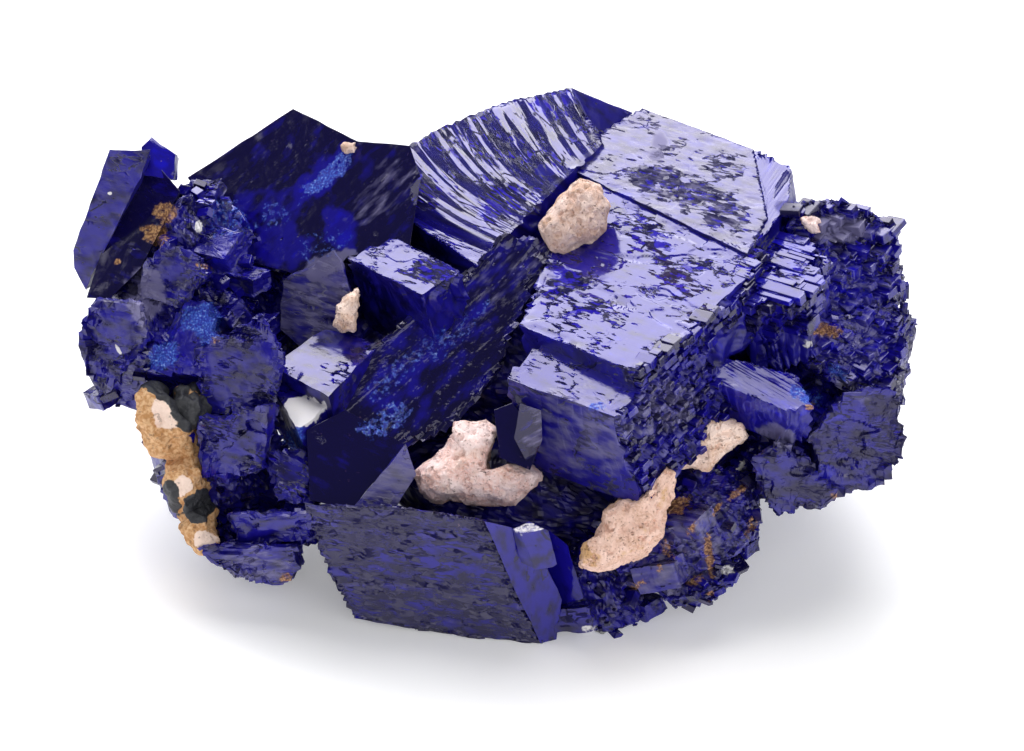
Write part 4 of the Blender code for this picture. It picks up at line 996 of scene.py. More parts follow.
class Sketch:
    """A material's node tree with a short way to add nodes to it."""

    top_lean = (-0.60, 0.0, -0.1)
    wall_lean = (0.0, 0.0, 0.45)

    def __init__(self, name: str) -> None:
        """Start an empty material."""
        self.material = bpy.data.materials.new(name)
        self.material.use_nodes = True
        self.tree = self.material.node_tree
        self.tree.nodes.clear()

    def add(self, kind: str, inputs: dict | None = None, **settings: object) -> bpy.types.Node:
        """Add a node, set its options, and set or link its inputs."""
        node = self.tree.nodes.new("ShaderNode" + kind)
        for key, value in settings.items():
            setattr(node, key, value)
        for key, value in (inputs or {}).items():
            if isinstance(value, bpy.types.NodeSocket):
                self.tree.links.new(value, node.inputs[key])
            else:
                node.inputs[key].default_value = value
        return node

    def place(self) -> bpy.types.NodeSocket:
        """The place on the piece in millimetres."""
        coords = self.add("TexCoord").outputs["Object"]
        return self.add("VectorMath", {0: coords, "Scale": 1.0 / MM}, operation="SCALE").outputs[0]

    def grain(self) -> bpy.types.NodeSocket:
        """The place in the crystal's own directions in millimetres: along its run, across it and out of it."""
        return self.add("Attribute", attribute_name="grain").outputs["Vector"]

    def noise(self, place: bpy.types.NodeSocket, per_mm: float | tuple, detail: float = 3.0) -> bpy.types.NodeSocket:
        """Layered noise with this many cells in a millimetre, the same or its own along each direction."""
        steps = per_mm if isinstance(per_mm, tuple) else (per_mm, per_mm, per_mm)
        scaled = self.add("VectorMath", {0: place, 1: steps}, operation="MULTIPLY").outputs[0]
        return self.add("TexNoise", {"Vector": scaled, "Scale": 1.0, "Detail": detail}).outputs["Fac"]

    def math(self, operation: str, *values: object, clamp: bool = False) -> bpy.types.NodeSocket:
        """One sum on numbers or sockets."""
        inputs = dict(enumerate(values))
        return self.add("Math", inputs, operation=operation, use_clamp=clamp).outputs[0]

    def total(self, *terms: tuple) -> bpy.types.NodeSocket:
        """The sum of weighted terms, each a pair of weight and socket or number."""
        result = 0.0
        for weight, value in terms:
            result = self.math("MULTIPLY_ADD", value, weight, result)
        return result

    def most(self, *values: object) -> bpy.types.NodeSocket:
        """The greatest of several values."""
        result = values[0]
        for value in values[1:]:
            result = self.math("MAXIMUM", result, value)
        return result

    def ramp(self, value: object, low: float, high: float) -> bpy.types.NodeSocket:
        """Rise smoothly from none at low to one at high."""
        return self.add("MapRange", {"Value": value, "From Min": low, "From Max": high},
                        interpolation_type="SMOOTHSTEP").outputs[0]

    def blend(self, share: object, first: object, second: object) -> bpy.types.NodeSocket:
        """Mix two colours."""
        node = self.add("Mix", data_type="RGBA")
        for index, value in ((0, share), (6, first), (7, second)):
            if isinstance(value, bpy.types.NodeSocket):
                self.tree.links.new(value, node.inputs[index])
            else:
                node.inputs[index].default_value = value
        return node.outputs[2]

    def mark(self, mark: Mark) -> bpy.types.NodeSocket:
        """The share of a mark at each point."""
        return self.add("Attribute", attribute_name=mark.value).outputs["Fac"]

    def rise(self) -> bpy.types.NodeSocket:
        """How far the surface looks up: one for level ground, none for a wall."""
        return self.add("SeparateXYZ", {0: self.add("NewGeometry").outputs["Normal"]}).outputs[2]

    def tipped_normal(self, place: bpy.types.NodeSocket, per_mm: float, amount: object,
                      aside: object) -> bpy.types.NodeSocket:
        """The surface's direction, tipped by chance in each of many small cells, then leaned as far as aside says.

        Surfaces that look up lean to the left, and walls lean upwards.
        """
        cells = self.add("TexVoronoi", {"Vector": place, "Scale": per_mm}).outputs["Color"]
        offset = self.add("VectorMath", {0: cells, 1: (0.5, 0.5, 0.5)}, operation="SUBTRACT").outputs[0]
        offset = self.add("VectorMath", {0: offset, "Scale": amount}, operation="SCALE").outputs[0]
        normal = self.add("NewGeometry").outputs["Normal"]
        level = self.ramp(self.rise(), 0.5, 0.8)
        way = self.add("Mix", {0: level, 4: self.wall_lean, 5: self.top_lean}, data_type="VECTOR")
        lean = self.add("VectorMath", {0: way.outputs[1], "Scale": aside}, operation="SCALE").outputs[0]
        offset = self.add("VectorMath", {0: offset, 1: lean}, operation="ADD").outputs[0]
        normal = self.add("VectorMath", {0: normal, 1: offset}, operation="ADD").outputs[0]
        return self.add("VectorMath", {0: normal}, operation="NORMALIZE").outputs[0]

    def finish(self, **inputs: object) -> bpy.types.Material:
        """Close the material with its shader."""
        named = {key.replace("_", " "): value for key, value in inputs.items()}
        shader = self.add("BsdfPrincipled", named)
        self.add("OutputMaterial", {"Surface": shader.outputs[0]})
        return self.material


@dataclass(frozen=True)
class AzuriteFinish:
    """Azurite: glassy deep blue copper carbonate, navy to vivid in its pits, azure where it is powdery."""

    name: str = "glassy_azurite"
    deep: str = "#090536"
    body: str = "#150E82"
    vivid: str = "#1510AA"
    pit_dark: str = "#0B0740"
    pit_vivid: str = "#2212AC"
    azure: str = "#3564CC"
    azure_deep: str = "#161C98"
    azure_pale: str = "#8FAAE6"
    film: str = "#6A668C"
    pale: str = "#EDEAE8"
    rust: str = "#C99A62"
    rust_dark: str = "#6E4420"
    gloss: float = 0.10
    band_gloss: float = 0.20
    pit_gloss: float = 0.20
    film_and_sheen_gloss: float = 0.45
    powder_gloss: float = 0.80
    matte_gloss: float = 0.40
    pit_tilt: float = 0.25

    def pits(self, sketch: Sketch, grain: bpy.types.NodeSocket) -> bpy.types.NodeSocket:
        """Crisp pits drawn out along the run, in clusters, with thin cracks between broad areas."""
        share = sketch.mark(Mark.PITS)
        cluster = sketch.noise(grain, 0.28, 2.0)
        fleck = sketch.noise(grain, (0.65, 2.4, 2.0), 6.0)
        level = sketch.total((1.0, fleck), (0.5, cluster), (0.45, share))
        pit = sketch.ramp(level, 1.045, 1.07)
        strayed = sketch.add("VectorMath", {0: grain, 1: sketch.math("MULTIPLY", fleck, 1.6)}, operation="ADD")
        cells = sketch.add("VectorMath", {0: strayed.outputs[0], 1: (0.35, 0.75, 0.6)}, operation="MULTIPLY")
        edge = sketch.add("TexVoronoi", {"Vector": cells.outputs[0], "Scale": 1.0}, feature="DISTANCE_TO_EDGE")
        crack = sketch.math("SUBTRACT", 1.0, sketch.ramp(edge.outputs["Distance"], 0.02, 0.05))
        present = sketch.ramp(sketch.total((1.0, cluster), (0.5, share)), 0.71, 0.75)
        return sketch.math("MAXIMUM", pit, sketch.math("MULTIPLY", crack, present))

    def bands(self, sketch: Sketch, grain: bpy.types.NodeSocket) -> bpy.types.NodeSocket:
        """Bands that follow the grain: rougher, and darkened in colour as painted shade."""
        share = sketch.mark(Mark.BANDS)
        broad = sketch.noise(grain, (0.10, 0.30, 0.3), 2.0)
        level = sketch.total((1.0, sketch.noise(grain, (0.045, 1.2, 0.4), 4.0)), (0.4, share), (0.45, broad))
        band = sketch.ramp(level, 0.90, 1.00)
        return sketch.math("MULTIPLY", band, sketch.math("MULTIPLY", share, 4.0, clamp=True))

    def material(self) -> bpy.types.Material:
        """Body colour by the blue mark, then bands and pits (their darkening partly painted shade), azure powder, a
        gray film that is partly painted sheen, pale dust with one painted highlight, and rust over it.
        """
        sketch = Sketch(self.name)
        grain, place = sketch.grain(), sketch.place()
        pit, band = self.pits(sketch, grain), self.bands(sketch, grain)
        speckle = sketch.noise(place, 2.2, 6.0)
        dust = sketch.noise(place, 5.0, 4.0)
        mottle = sketch.noise(grain, (0.45, 0.9, 0.8), 5.0)
        blue = sketch.total((1.0, sketch.mark(Mark.BLUE)), (1.8, mottle))
        colour = sketch.blend(sketch.ramp(blue, 1.00, 1.60), linear(self.deep), linear(self.body))
        colour = sketch.blend(sketch.ramp(blue, 1.70, 2.10), colour, linear(self.vivid))
        # Painted shade: bands darken the colour towards deep blue, standing in for the dark that their tilted grooves
        # reflect.
        colour = sketch.blend(sketch.math("MULTIPLY", band, 0.40), colour, linear(self.deep))
        # Pits take the dark navy on walls and may turn vivid blue only on faces that look up; the dark navy of pits on
        # walls is painted shade.
        hue = sketch.ramp(sketch.total((1.0, sketch.noise(grain, (1.0, 2.4, 2.0), 3.0)), (0.2, blue)), 0.80, 0.90)
        hue = sketch.math("MULTIPLY", hue, sketch.ramp(sketch.rise(), 0.1, 0.6))
        colour = sketch.blend(pit, colour, sketch.blend(hue, linear(self.pit_dark), linear(self.pit_vivid)))
        powder = sketch.blend(sketch.ramp(dust, 0.38, 0.60), linear(self.azure_deep), linear(self.azure))
        powder = sketch.blend(sketch.ramp(dust, 0.60, 0.66), powder, linear(self.azure_pale))
        rust = sketch.blend(sketch.ramp(dust, 0.40, 0.64), linear(self.rust_dark), linear(self.rust))
        covers = {}
        # The film's gray cover is partly a real dull film and partly painted sheen.
        for mark, tint, pattern, spread, low, high in (
            (Mark.FILM, linear(self.film), sketch.noise(grain, (0.5, 1.8, 1.4), 5.0), 1.2, 0.85, 1.35),
            (Mark.AZURE, powder, speckle, 1.8, 1.25, 1.75),
            (Mark.PALE, linear(self.pale), speckle, 1.0, 1.00, 1.25),
            (Mark.RUST, rust, speckle, 2.2, 1.50, 2.05),
        ):
            covers[mark] = sketch.ramp(sketch.total((1.0, sketch.mark(mark)), (spread, pattern)), low, high)
            colour = sketch.blend(sketch.math("MULTIPLY", covers[mark], 0.85), colour, tint)
        matte = sketch.math("MULTIPLY_ADD", sketch.mark(Mark.MATTE), self.matte_gloss, self.gloss)
        dull = sketch.most(
            matte,
            sketch.math("MULTIPLY", pit, self.pit_gloss),
            sketch.math("MULTIPLY", band, self.band_gloss),
            sketch.math("MULTIPLY", covers[Mark.FILM], self.film_and_sheen_gloss),
            sketch.math("MULTIPLY", sketch.most(covers[Mark.AZURE], covers[Mark.PALE], covers[Mark.RUST]),
                        self.powder_gloss),
        )
        streaks = sketch.noise(grain, (0.4, 7.0, 3.0), 3.0)
        height = sketch.total((0.14, streaks), (0.25, sketch.math("MULTIPLY", speckle, matte)), (-0.8, pit))
        tilt = sketch.total((0.9, sketch.mark(Mark.GLINT)), (self.pit_tilt, pit))
        tipped = sketch.tipped_normal(grain, 1.6, tilt, sketch.most(pit, band))
        bump = sketch.add("Bump", {"Height": height, "Strength": 0.7, "Distance": 0.06 * MM, "Normal": tipped})
        return sketch.finish(Base_Color=colour, Roughness=dull, IOR=1.76, Specular_IOR_Level=0.35,
                             Specular_Tint=(0.90, 0.86, 1.0, 1.0), Normal=bump.outputs[0])


@dataclass(frozen=True)
class ClayFinish:
    """Pale clay stone: chalky, grainy and porous, with small pores darkened by painted shade and a golden tint in broad
    patches.
    """

    name: str
    pale: str
    tan: str
    pore_shade: str = "#7E5A48"
    golden: str = "#C89A5A"
    pores: float = 1.5
    stain: float = 0.5

    def material(self) -> bpy.types.Material:
        """Mix pale and tan by broad noise, stain, paint shade into pores of two sizes, and roughen."""
        sketch = Sketch(self.name)
        place = sketch.place()
        fine = sketch.noise(place, 5.0, 5.0)
        colour = sketch.blend(sketch.ramp(sketch.noise(place, 0.6, 4.0), 0.38, 0.62),
                              linear(self.pale), linear(self.tan))
        colour = sketch.blend(sketch.ramp(fine, 0.40, 0.75), colour, linear(self.pale))
        stain = sketch.ramp(sketch.noise(place, 0.42, 5.0), 0.56, 0.66)
        colour = sketch.blend(sketch.math("MULTIPLY", stain, self.stain), colour, linear(self.golden))
        depth = 0.0
        # Painted shade: the pores are darkened towards the pore colour as well as sunk by the bump.
        for per_mm, low, high in ((self.pores, 0.06, 0.24), (3.4 * self.pores, 0.10, 0.34)):
            near = sketch.add("TexVoronoi", {"Vector": place, "Scale": per_mm}).outputs["Distance"]
            pore_shade = sketch.math("SUBTRACT", 1.0, sketch.ramp(near, low, high))
            pore_shade = sketch.math("MULTIPLY", pore_shade, sketch.ramp(sketch.noise(place, 0.9 * per_mm, 2.0), 0.46, 0.58))
            colour = sketch.blend(sketch.math("MULTIPLY", pore_shade, 0.6), colour, linear(self.pore_shade))
            depth = sketch.math("MULTIPLY_ADD", pore_shade, 1.0, depth)
        height = sketch.total((0.9, fine), (-1.0, depth))
        bump = sketch.add("Bump", {"Height": height, "Strength": 0.9, "Distance": 0.16 * MM})
        return sketch.finish(Base_Color=colour, Roughness=0.92, Normal=bump.outputs[0])


@dataclass(frozen=True)
class LimoniteFinish:
    """Limonite: earthy iron oxide from ochre to orange, with pinkish clay and near-black crusts."""

    name: str = "earthy_limonite"
    ochre: str = "#B98654"
    orange: str = "#DDB488"
    clay: str = "#F2D8C8"
    speck: str = "#5A4034"
    crust: str = "#2A2B30"

    def material(self) -> bpy.types.Material:
        """Ochre and orange by broad noise, clay by the pale mark and crusts by the film-and-sheen mark, which here
        marks only real crusts.
        """
        sketch = Sketch(self.name)
        place = sketch.place()
        fine = sketch.noise(place, 3.0, 5.0)
        colour = sketch.blend(sketch.ramp(fine, 0.35, 0.65), linear(self.ochre), linear(self.orange))
        clay = sketch.total((1.0, sketch.mark(Mark.PALE)), (0.8, fine), (0.5, sketch.noise(place, 0.5, 3.0)))
        colour = sketch.blend(sketch.ramp(clay, 0.82, 1.10), colour, linear(self.clay))
        speck = sketch.ramp(sketch.noise(place, 2.0, 6.0), 0.60, 0.66)
        colour = sketch.blend(sketch.math("MULTIPLY", speck, 0.45), colour, linear(self.speck))
        crust = sketch.ramp(sketch.total((1.0, sketch.mark(Mark.FILM)), (0.5, fine)), 0.60, 0.72)
        colour = sketch.blend(crust, colour, linear(self.crust))
        bump = sketch.add("Bump", {"Height": fine, "Strength": 0.8, "Distance": 0.2 * MM})
        roughness = sketch.add("MapRange", {"Value": crust, "To Min": 0.88, "To Max": 0.55}).outputs[0]
        return sketch.finish(Base_Color=colour, Roughness=roughness, Normal=bump.outputs[0])

# Sub-assemblies


class SubAssembly(ABC):
    """A piece of the specimen that stands for one of its solids."""

    name: str
    node: str
    slot: str
    smooth: bool = True

    @abstractmethod
    def shells(self) -> list[Shell]:
        """The closed surfaces of the piece."""

    @abstractmethod
    def material(self) -> bpy.types.Material:
        """The finish of the piece."""

    def build(self) -> bpy.types.Object:
        """Make the piece, dress it, hang it under the root body, and hide the solid that it stands for."""
        piece = mesh_object(self.name, self.shells(), self.smooth)
        piece.data.materials.append(self.material())
        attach(piece, "root")
        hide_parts(self.node)
        return piece


def shared(finish: AzuriteFinish | ClayFinish | LimoniteFinish) -> bpy.types.Material:
    """The finish's material, made once."""
    return bpy.data.materials.get(finish.name) or finish.material()


def crystal_ends(crystal: Crystal) -> tuple[np.ndarray, np.ndarray]:
    """The corners of a crystal's seen face and of its back."""
    front = crystal_corners(crystal)
    middle = front.mean(axis=0)
    stepped = crystal.level is not None
    shift = crystal.thickness * (-crystal.facing if stepped else AWAY) + np.array(crystal.lean)
    narrowing = 1.0 if stepped else BACK_NARROWING
    return front, middle + narrowing * (front - middle) + shift


def small_crystals(spots: np.ndarray, axes: np.ndarray, size: tuple, shape: tuple, tip: float, seed: int,
                   blue: tuple = (0.0, 0.7)) -> Shell:
    """Small tabular crystals on their spots, following the lattice loosely, each with its own colour.

    Args:
        spots: the middle of each crystal.
        axes: the lattice, as rows.
        size: the range of their lengths.
        shape: the ranges of their widths and of their heights, as shares of the length.
        tip: how far in radians they stand off the lattice.
        seed: the start of their chances.
        blue: the range of their blue marks.
    """
    chance = np.random.default_rng(seed)
    count = len(spots)
    turns = axes.T @ turned(chance.normal(0.0, tip, (count, 3)))
    length = size[0] + (size[1] - size[0]) * chance.uniform(0.0, 1.0, (count, 1)) ** 2
    shares = np.stack((np.ones(count), chance.uniform(*shape[0], count), chance.uniform(*shape[1], count)), axis=1)
    shell = tablets(spots, turns, length * shares)
    each = len(shell.points) // count
    shell.grain = shell.points @ axes.T
    shell.marks = {
        Mark.PITS: np.repeat(chance.uniform(0.1, 0.5, count), each),
        Mark.BLUE: np.repeat(chance.uniform(*blue, count), each),
        Mark.MATTE: np.repeat(chance.uniform(0.0, 0.2, count), each),
        Mark.FILM: np.repeat(chance.uniform(0.0, 0.3, count), each),
    }
    return patched(shell, PATCHES)


@dataclass
class CrystalGroup(SubAssembly):
    """Large crystals that have grown into the cluster."""

    name: str
    crystals: tuple
    finish: AzuriteFinish = AzuriteFinish()
    seed: int = 100
    node: str = "azurite_cluster"
    slot: str = "azurite"
    smooth: bool = True

    def shells(self) -> list[Shell]:
        """Each crystal between its seen face and its back, etched by its own relief along its own run."""
        made = []
        for index, crystal in enumerate(self.crystals):
            front, back = crystal_ends(crystal)
            run = STEP_RUN if crystal.run is None else crystal.run[0] * ACROSS + crystal.run[1] * UPWARD
            seed = self.seed + 7 * index
            shell = drum(front, back, crystal.cell)
            shell = weathered(shell, crystal.relief, lattice(crystal.facing, run), seed)
            if crystal.flamed:
                shell.grain = flame_grain(shell.points)
            made.append(patched(shell, PATCHES))
        return made

    def material(self) -> bpy.types.Material:
        """Azurite."""
        return shared(self.finish)


@dataclass
class StepField(SubAssembly):
    """Small stepped crystals that crowd on a large one: on some of its sides, or on its face."""

    name: str
    crystal: Crystal
    count: int
    sides: tuple = ()
    size: tuple = (0.4, 1.4)
    shape: tuple = ((0.4, 0.9), (0.25, 0.6))
    depth: float = 1.0
    tip: float = 0.03
    sink: float = 0.25
    blue: tuple = (0.0, 0.7)
    finish: AzuriteFinish = AzuriteFinish()
    seed: int = 700
    node: str = "azurite_cluster"
    slot: str = "azurite"
    smooth: bool = False

    def spots(self) -> np.ndarray:
        """Places by chance: along each side and down it, or on triangles from the middle of the face."""
        chance = np.random.default_rng(self.seed)
        front, back = crystal_ends(self.crystal)
        after = np.roll(front, -1, axis=0)
        along, down = chance.uniform(0.0, 1.0, (2, self.count, 1))
        centre = np.concatenate((front, back)).mean(axis=0)
        if self.sides:
            lengths = np.linalg.norm(after - front, axis=1)[list(self.sides)]
            side = chance.choice(self.sides, self.count, p=lengths / lengths.sum())
            edge = front[side] + along * (after - front)[side]
            spot = edge + self.depth * down * (back - front)[side]
            inward = centre - spot
            return spot + self.sink * inward / np.linalg.norm(inward, axis=1, keepdims=True)
        middle = front.mean(axis=0)
        sizes = np.linalg.norm(np.cross(front - middle, after - middle), axis=1)
        side = chance.choice(len(front), self.count, p=sizes / sizes.sum())
        spread = np.sqrt(down)
        spot = middle + spread * ((1.0 - along) * (front[side] - middle) + along * (after[side] - middle))
        return spot - self.sink * self.crystal.facing

    def shells(self) -> list[Shell]:
        """All the small crystals as one."""
        return [small_crystals(self.spots(), LATTICE, self.size, self.shape, self.tip, self.seed, self.blue)]

    def material(self) -> bpy.types.Material:
        """Azurite."""
        return shared(self.finish)


@dataclass
class LumpGroup(SubAssembly):
    """Intergrown masses of small crystals: a stepped body, tabular crystals on it, and tiny ones between."""

    name: str
    lumps: tuple
    relief: Relief
    cell: float
    tiny: int = 0
    tiny_size: tuple = (0.4, 1.9)
    tiny_shape: tuple = ((0.4, 0.9), (0.25, 0.6))
    inset: float = 0.3
    tip: float = 0.15
    finish: AzuriteFinish = AzuriteFinish()
    seed: int = 200
    rubble_cell: float = 0.32
    node: str = "azurite_cluster"
    slot: str = "azurite"
    smooth: bool = False

    def shells(self) -> list[Shell]:
        """The bodies, their rubble, and the tiny crystals."""
        made = []
        for index, lump in enumerate(self.lumps):
            seed = self.seed + 7 * index
            body = replace(lump, half_size=tuple(half - self.inset for half in lump.half_size))
            made.append(patched(weathered(lump_shell(body, self.cell), self.relief, LATTICE, seed), PATCHES))
            for rubble in RUBBLE:
                if rubble.lump == lump.name:
                    made += self.rubble_shells(lump, rubble)
            if self.tiny:
                made.append(self.tiny_shell(body, seed))
        return made

    def rubble_shells(self, lump: Lump, rubble: Rubble) -> list[Shell]:
        """Tabular crystals spread over the lump by turns of the golden angle, half sunk, tipped off the lattice."""
        chance = np.random.default_rng(rubble.seed)
        faces, distances = lump_planes(lump)
        turn, middle = lump_turn(lump), sight_point(*lump.middle)
        relief = replace(self.relief, blocks=0.35 * self.relief.blocks, block_faces=(1.0, 1.0, 0.4),
                         rough=0.3 * self.relief.rough)
        made = []
        for index in range(rubble.count):
            height = 1.0 - 2.0 * (index + 0.5) / rubble.count
            angle = index * GOLDEN_TURN + chance.uniform(0.0, 1.0)
            ring = sqrt(1.0 - height * height)
            direction = np.array((ring * cos(angle), ring * sin(angle), height))
            nearness = faces @ direction
            reach = (distances[nearness > 0.1] / nearness[nearness > 0.1]).min()
            spot = middle + turn @ (RUBBLE_SINK * reach * direction * np.array(lump.half_size))
            length = chance.uniform(*rubble.length)
            size = np.array((length, length * chance.uniform(0.5, 0.8), length * chance.uniform(0.3, 0.6)))
            tip = np.array(Euler(chance.uniform(-RUBBLE_TIP, RUBBLE_TIP, 3).tolist()).to_matrix())
            axes = LATTICE.T @ tip
            square = np.array(((-1, -1, 1), (1, -1, 1), (1, 1, 1), (-1, 1, 1))) / 2.0
            front = spot + (square * size) @ axes.T
            back = spot + (square * (1, 1, -1) * size) @ axes.T
            shell = weathered(drum(front, back, self.rubble_cell), relief, axes.T, rubble.seed + index)
            made.append(patched(shell, PATCHES))
        return made

    def tiny_shell(self, lump: Lump, seed: int) -> Shell:
        """Tiny tabular crystals, spread evenly over the lump."""
        chance = np.random.default_rng(seed)
        index = np.arange(self.tiny)
        height = 1.0 - 2.0 * (index + 0.5) / self.tiny
        angle = index * GOLDEN_TURN + chance.uniform(-0.2, 0.2, self.tiny)
        ring = np.sqrt(1.0 - height * height)
        directions = np.stack((ring * np.cos(angle), ring * np.sin(angle), height), axis=-1)
        reach = lump_reach(directions, lump)[:, None]
        spots = sight_point(*lump.middle) + (directions * reach * np.array(lump.half_size)) @ lump_turn(lump).T
        return small_crystals(spots, LATTICE, self.tiny_size, self.tiny_shape, self.tip, seed)

    def material(self) -> bpy.types.Material:
        """Azurite."""
        return shared(self.finish)


@dataclass
class ClayStone(SubAssembly):
    """A worn stone: its outline as it is seen, and how far it reaches towards and away from the viewer."""

    name: str
    node: str
    outline: tuple
    middle: tuple
    half_depth: float
    finish: ClayFinish
    seed: int
    cell: float = 0.13
    grit: float = 0.8
    slot: str = "pale_clay"

    def reach(self, u: np.ndarray) -> np.ndarray:
        """How far the outline lies from the middle at each angle u."""
        offset = np.array(self.outline) - np.array(self.middle[:2])
        angle = np.unwrap(np.arctan2(offset[:, 1], offset[:, 0]))
        if angle[-1] < angle[0]:
            offset = offset[::-1]
            angle = np.unwrap(np.arctan2(offset[:, 1], offset[:, 0]))
        closed = np.concatenate((offset, offset[:1]))
        u = angle[0] + (u - angle[0]) % (2.0 * pi)
        edge = np.clip(np.searchsorted(angle, u, side="right") - 1, 0, len(offset) - 1)
        start, step = closed[edge], closed[edge + 1] - closed[edge]
        return (start[:, 0] * step[:, 1] - start[:, 1] * step[:, 0]) / (np.cos(u) * step[:, 1] - np.sin(u) * step[:, 0])

    def shells(self) -> list[Shell]:
        """The outline's reach at each angle, times a rounded profile from front to back, with lumps and pores.

        A point is middle + reach(u) * sin(v)^0.62 * (cos u, sin u) in the view, and half_depth times the signed
        0.9 power of cos(v) in depth.
        """
        across, up, away = self.middle
        size = np.linalg.norm(np.array(self.outline) - np.array((across, up)), axis=1).max()
        around = int(2.0 * pi * size / self.cell)
        down = int(pi * max(size, self.half_depth) * 0.8 / self.cell)
        u = np.arange(around) * 2.0 * pi / around
        v = (np.arange(1, down) * pi / down)[:, None]
        spread = np.sin(v) ** 0.62 * self.reach(u)
        depth = np.sign(np.cos(v)) * np.abs(np.cos(v)) ** 0.9 * np.ones_like(u)
        rings = sight_point(across + spread * np.cos(u), up + spread * np.sin(u), away - self.half_depth * depth)
        front = sight_point(across, up, away - self.half_depth)
        back = sight_point(across, up, away + self.half_depth)
        shell = closed_shell(rings, front, back, np.ones(down - 1))
        swell = 0.2 * size * (ripple(shell.points / (0.5 * size), self.seed, 2) - 0.5)
        grit = self.grit * (ripple(shell.points / 1.1, self.seed + 5, 4) - 0.5)
        pores = 0.30 * ramp(ripple(shell.points / 0.55, self.seed + 9, 2), 0.56, 0.70)
        shell.points = shell.points + (swell + grit - pores)[:, None] * shell.normals()
        return [shell]

    def material(self) -> bpy.types.Material:
        """Clay."""
        return shared(self.finish)


# Where the iron-stained matrix carries near-black crusts and pinkish clay.
LIMONITE_PATCHES = (
    Patch(Mark.FILM, -31.9, -0.8, 1.6, 1.3),
    Patch(Mark.FILM, -28.7, -2.7, 2.3, 2.2),
    Patch(Mark.FILM, -28.2, -11.8, 1.4, 1.5),
    Patch(Mark.FILM, -30.7, -10.8, 0.7, 1.8, 0.9),
    Patch(Mark.PALE, -31.4, -3.4, 1.2, 1.6, 0.8, 0.4),
    Patch(Mark.PALE, -29.5, -9.9, 0.7, 1.0, 0.8),
    Patch(Mark.PALE, -27.7, -14.5, 0.8, 0.8, 0.8),
)


@dataclass
class LimoniteMatrix(SubAssembly):
    """The iron-stained matrix: soft earthy lumps, with near-black crusts as round knobs."""

    name: str = "limonite_matrix_looks"
    lumps: tuple = LIMONITE_LUMPS
    node: str = "limonite_matrix"
    slot: str = "limonite"
    finish: LimoniteFinish = LimoniteFinish()

    def shells(self) -> list[Shell]:
        """Rounded lumps with earthy swellings, raised a little where crusts lie."""
        made = []
        for lump in self.lumps:
            shell = lump_shell(lump, 0.13, 0.05)
            swell = 2.8 * (ripple(shell.points / 2.4, 41, 3) - 0.5)
            grit = 0.9 * (ripple(shell.points / 0.9, 46, 4) - 0.5)
            shell = patched(shell, LIMONITE_PATCHES)
            crust = shell.marks.get(Mark.FILM, 0.0)
            height = swell + grit * (1.0 - 0.7 * crust) + 0.35 * crust
            shell.points = shell.points + height[:, None] * shell.normals()
            made.append(shell)
        return made

    def material(self) -> bpy.types.Material:
        """Limonite."""
        return shared(self.finish)


PINK_CLAY = ClayFinish("pink_clay", "#F4DCD8", "#E8BDB2", stain=0.15)
TAN_CLAY = ClayFinish("tan_clay", "#E6CCC2", "#CFAA98", stain=0.20)
FRONT_CLAY = ClayFinish("front_clay", "#F0CCBC", "#D4AA94", stain=0.75)
CREAM_CLAY = ClayFinish("cream_clay", "#F6DCCE", "#DEBAA4", stain=0.35)

CLAY_STONES = (
    ClayStone("oval_stone", "clay_stone_oval",
              ((2.5, 13.4), (4.0, 15.8), (6.1, 17.8), (7.9, 17.1), (8.9, 15.3), (8.4, 13.1), (7.0, 11.9),
               (4.8, 10.9), (3.5, 11.3), (2.8, 12.4)), (5.7, 14.3, 3.4), 2.7, TAN_CLAY, 31, grit=0.4),
    ClayStone("pink_stone", "clay_stone_pink",
              ((-8.8, -9.0), (-8.3, -8.1), (-6.3, -6.5), (-5.1, -5.2), (-5.3, -4.1), (-4.2, -3.9), (-2.9, -4.0),
               (-1.4, -4.7), (-1.8, -6.6), (-2.0, -8.3), (-0.9, -8.5), (0.4, -8.0), (1.2, -7.1), (2.7, -9.0),
               (2.3, -9.9), (0.3, -11.7), (-3.1, -11.7), (-5.6, -11.1), (-7.3, -11.2), (-8.6, -10.6)),
              (-3.6, -8.9, -5.0), 4.4, PINK_CLAY, 32),
    ClayStone("front_stone", "clay_stone_front",
              ((13.9, -8.0), (14.8, -8.7), (14.5, -10.8), (13.7, -12.0), (13.4, -14.4), (12.2, -16.2), (9.6, -17.0),
               (7.7, -17.8), (6.2, -17.1), (6.5, -15.3), (7.5, -14.6), (8.1, -12.3), (9.6, -11.2), (11.3, -10.3),
               (12.8, -9.0)), (10.6, -13.2, -9.5), 2.9, FRONT_CLAY, 33),
    ClayStone("right_stone", "clay_stone_right",
              ((17.5, -4.0), (19.2, -3.6), (20.7, -4.4), (21.3, -5.4), (19.9, -6.5), (17.7, -8.5), (16.2, -8.1),
               (15.1, -8.4), (14.8, -7.0), (15.4, -5.9)), (18.0, -6.1, -6.0), 2.5, CREAM_CLAY, 34),
    ClayStone("left_chip", "clay_chip_left",
              ((-13.9, 7.8), (-13.7, 7.1), (-13.9, 5.4), (-14.2, 4.1), (-15.4, 3.9), (-16.0, 4.5), (-15.8, 6.3),
               (-14.9, 7.1)), (-14.8, 5.6, 1.9), 1.5, CREAM_CLAY, 35, 0.1),
    ClayStone("upper_chip", "clay_chip_upper",
              ((-15.5, 20.7), (-15.0, 21.0), (-14.1, 21.0), (-13.8, 20.5), (-14.1, 20.0), (-15.1, 19.9)),
              (-14.6, 20.5, 9.0), 0.9, TAN_CLAY, 36, 0.1),
    ClayStone("right_chip", "clay_chip_right",
              ((25.9, 14.2), (27.0, 14.5), (27.7, 14.0), (27.9, 12.9), (27.0, 12.7), (26.2, 13.3)),
              (26.9, 13.6, -0.4), 1.1, PINK_CLAY, 37, 0.1),
)

# Widths and heights of small crystals, as shares of their length.
BRICKS = ((0.4, 0.9), (0.2, 0.5))
SLATS = ((0.12, 0.30), (0.08, 0.20))

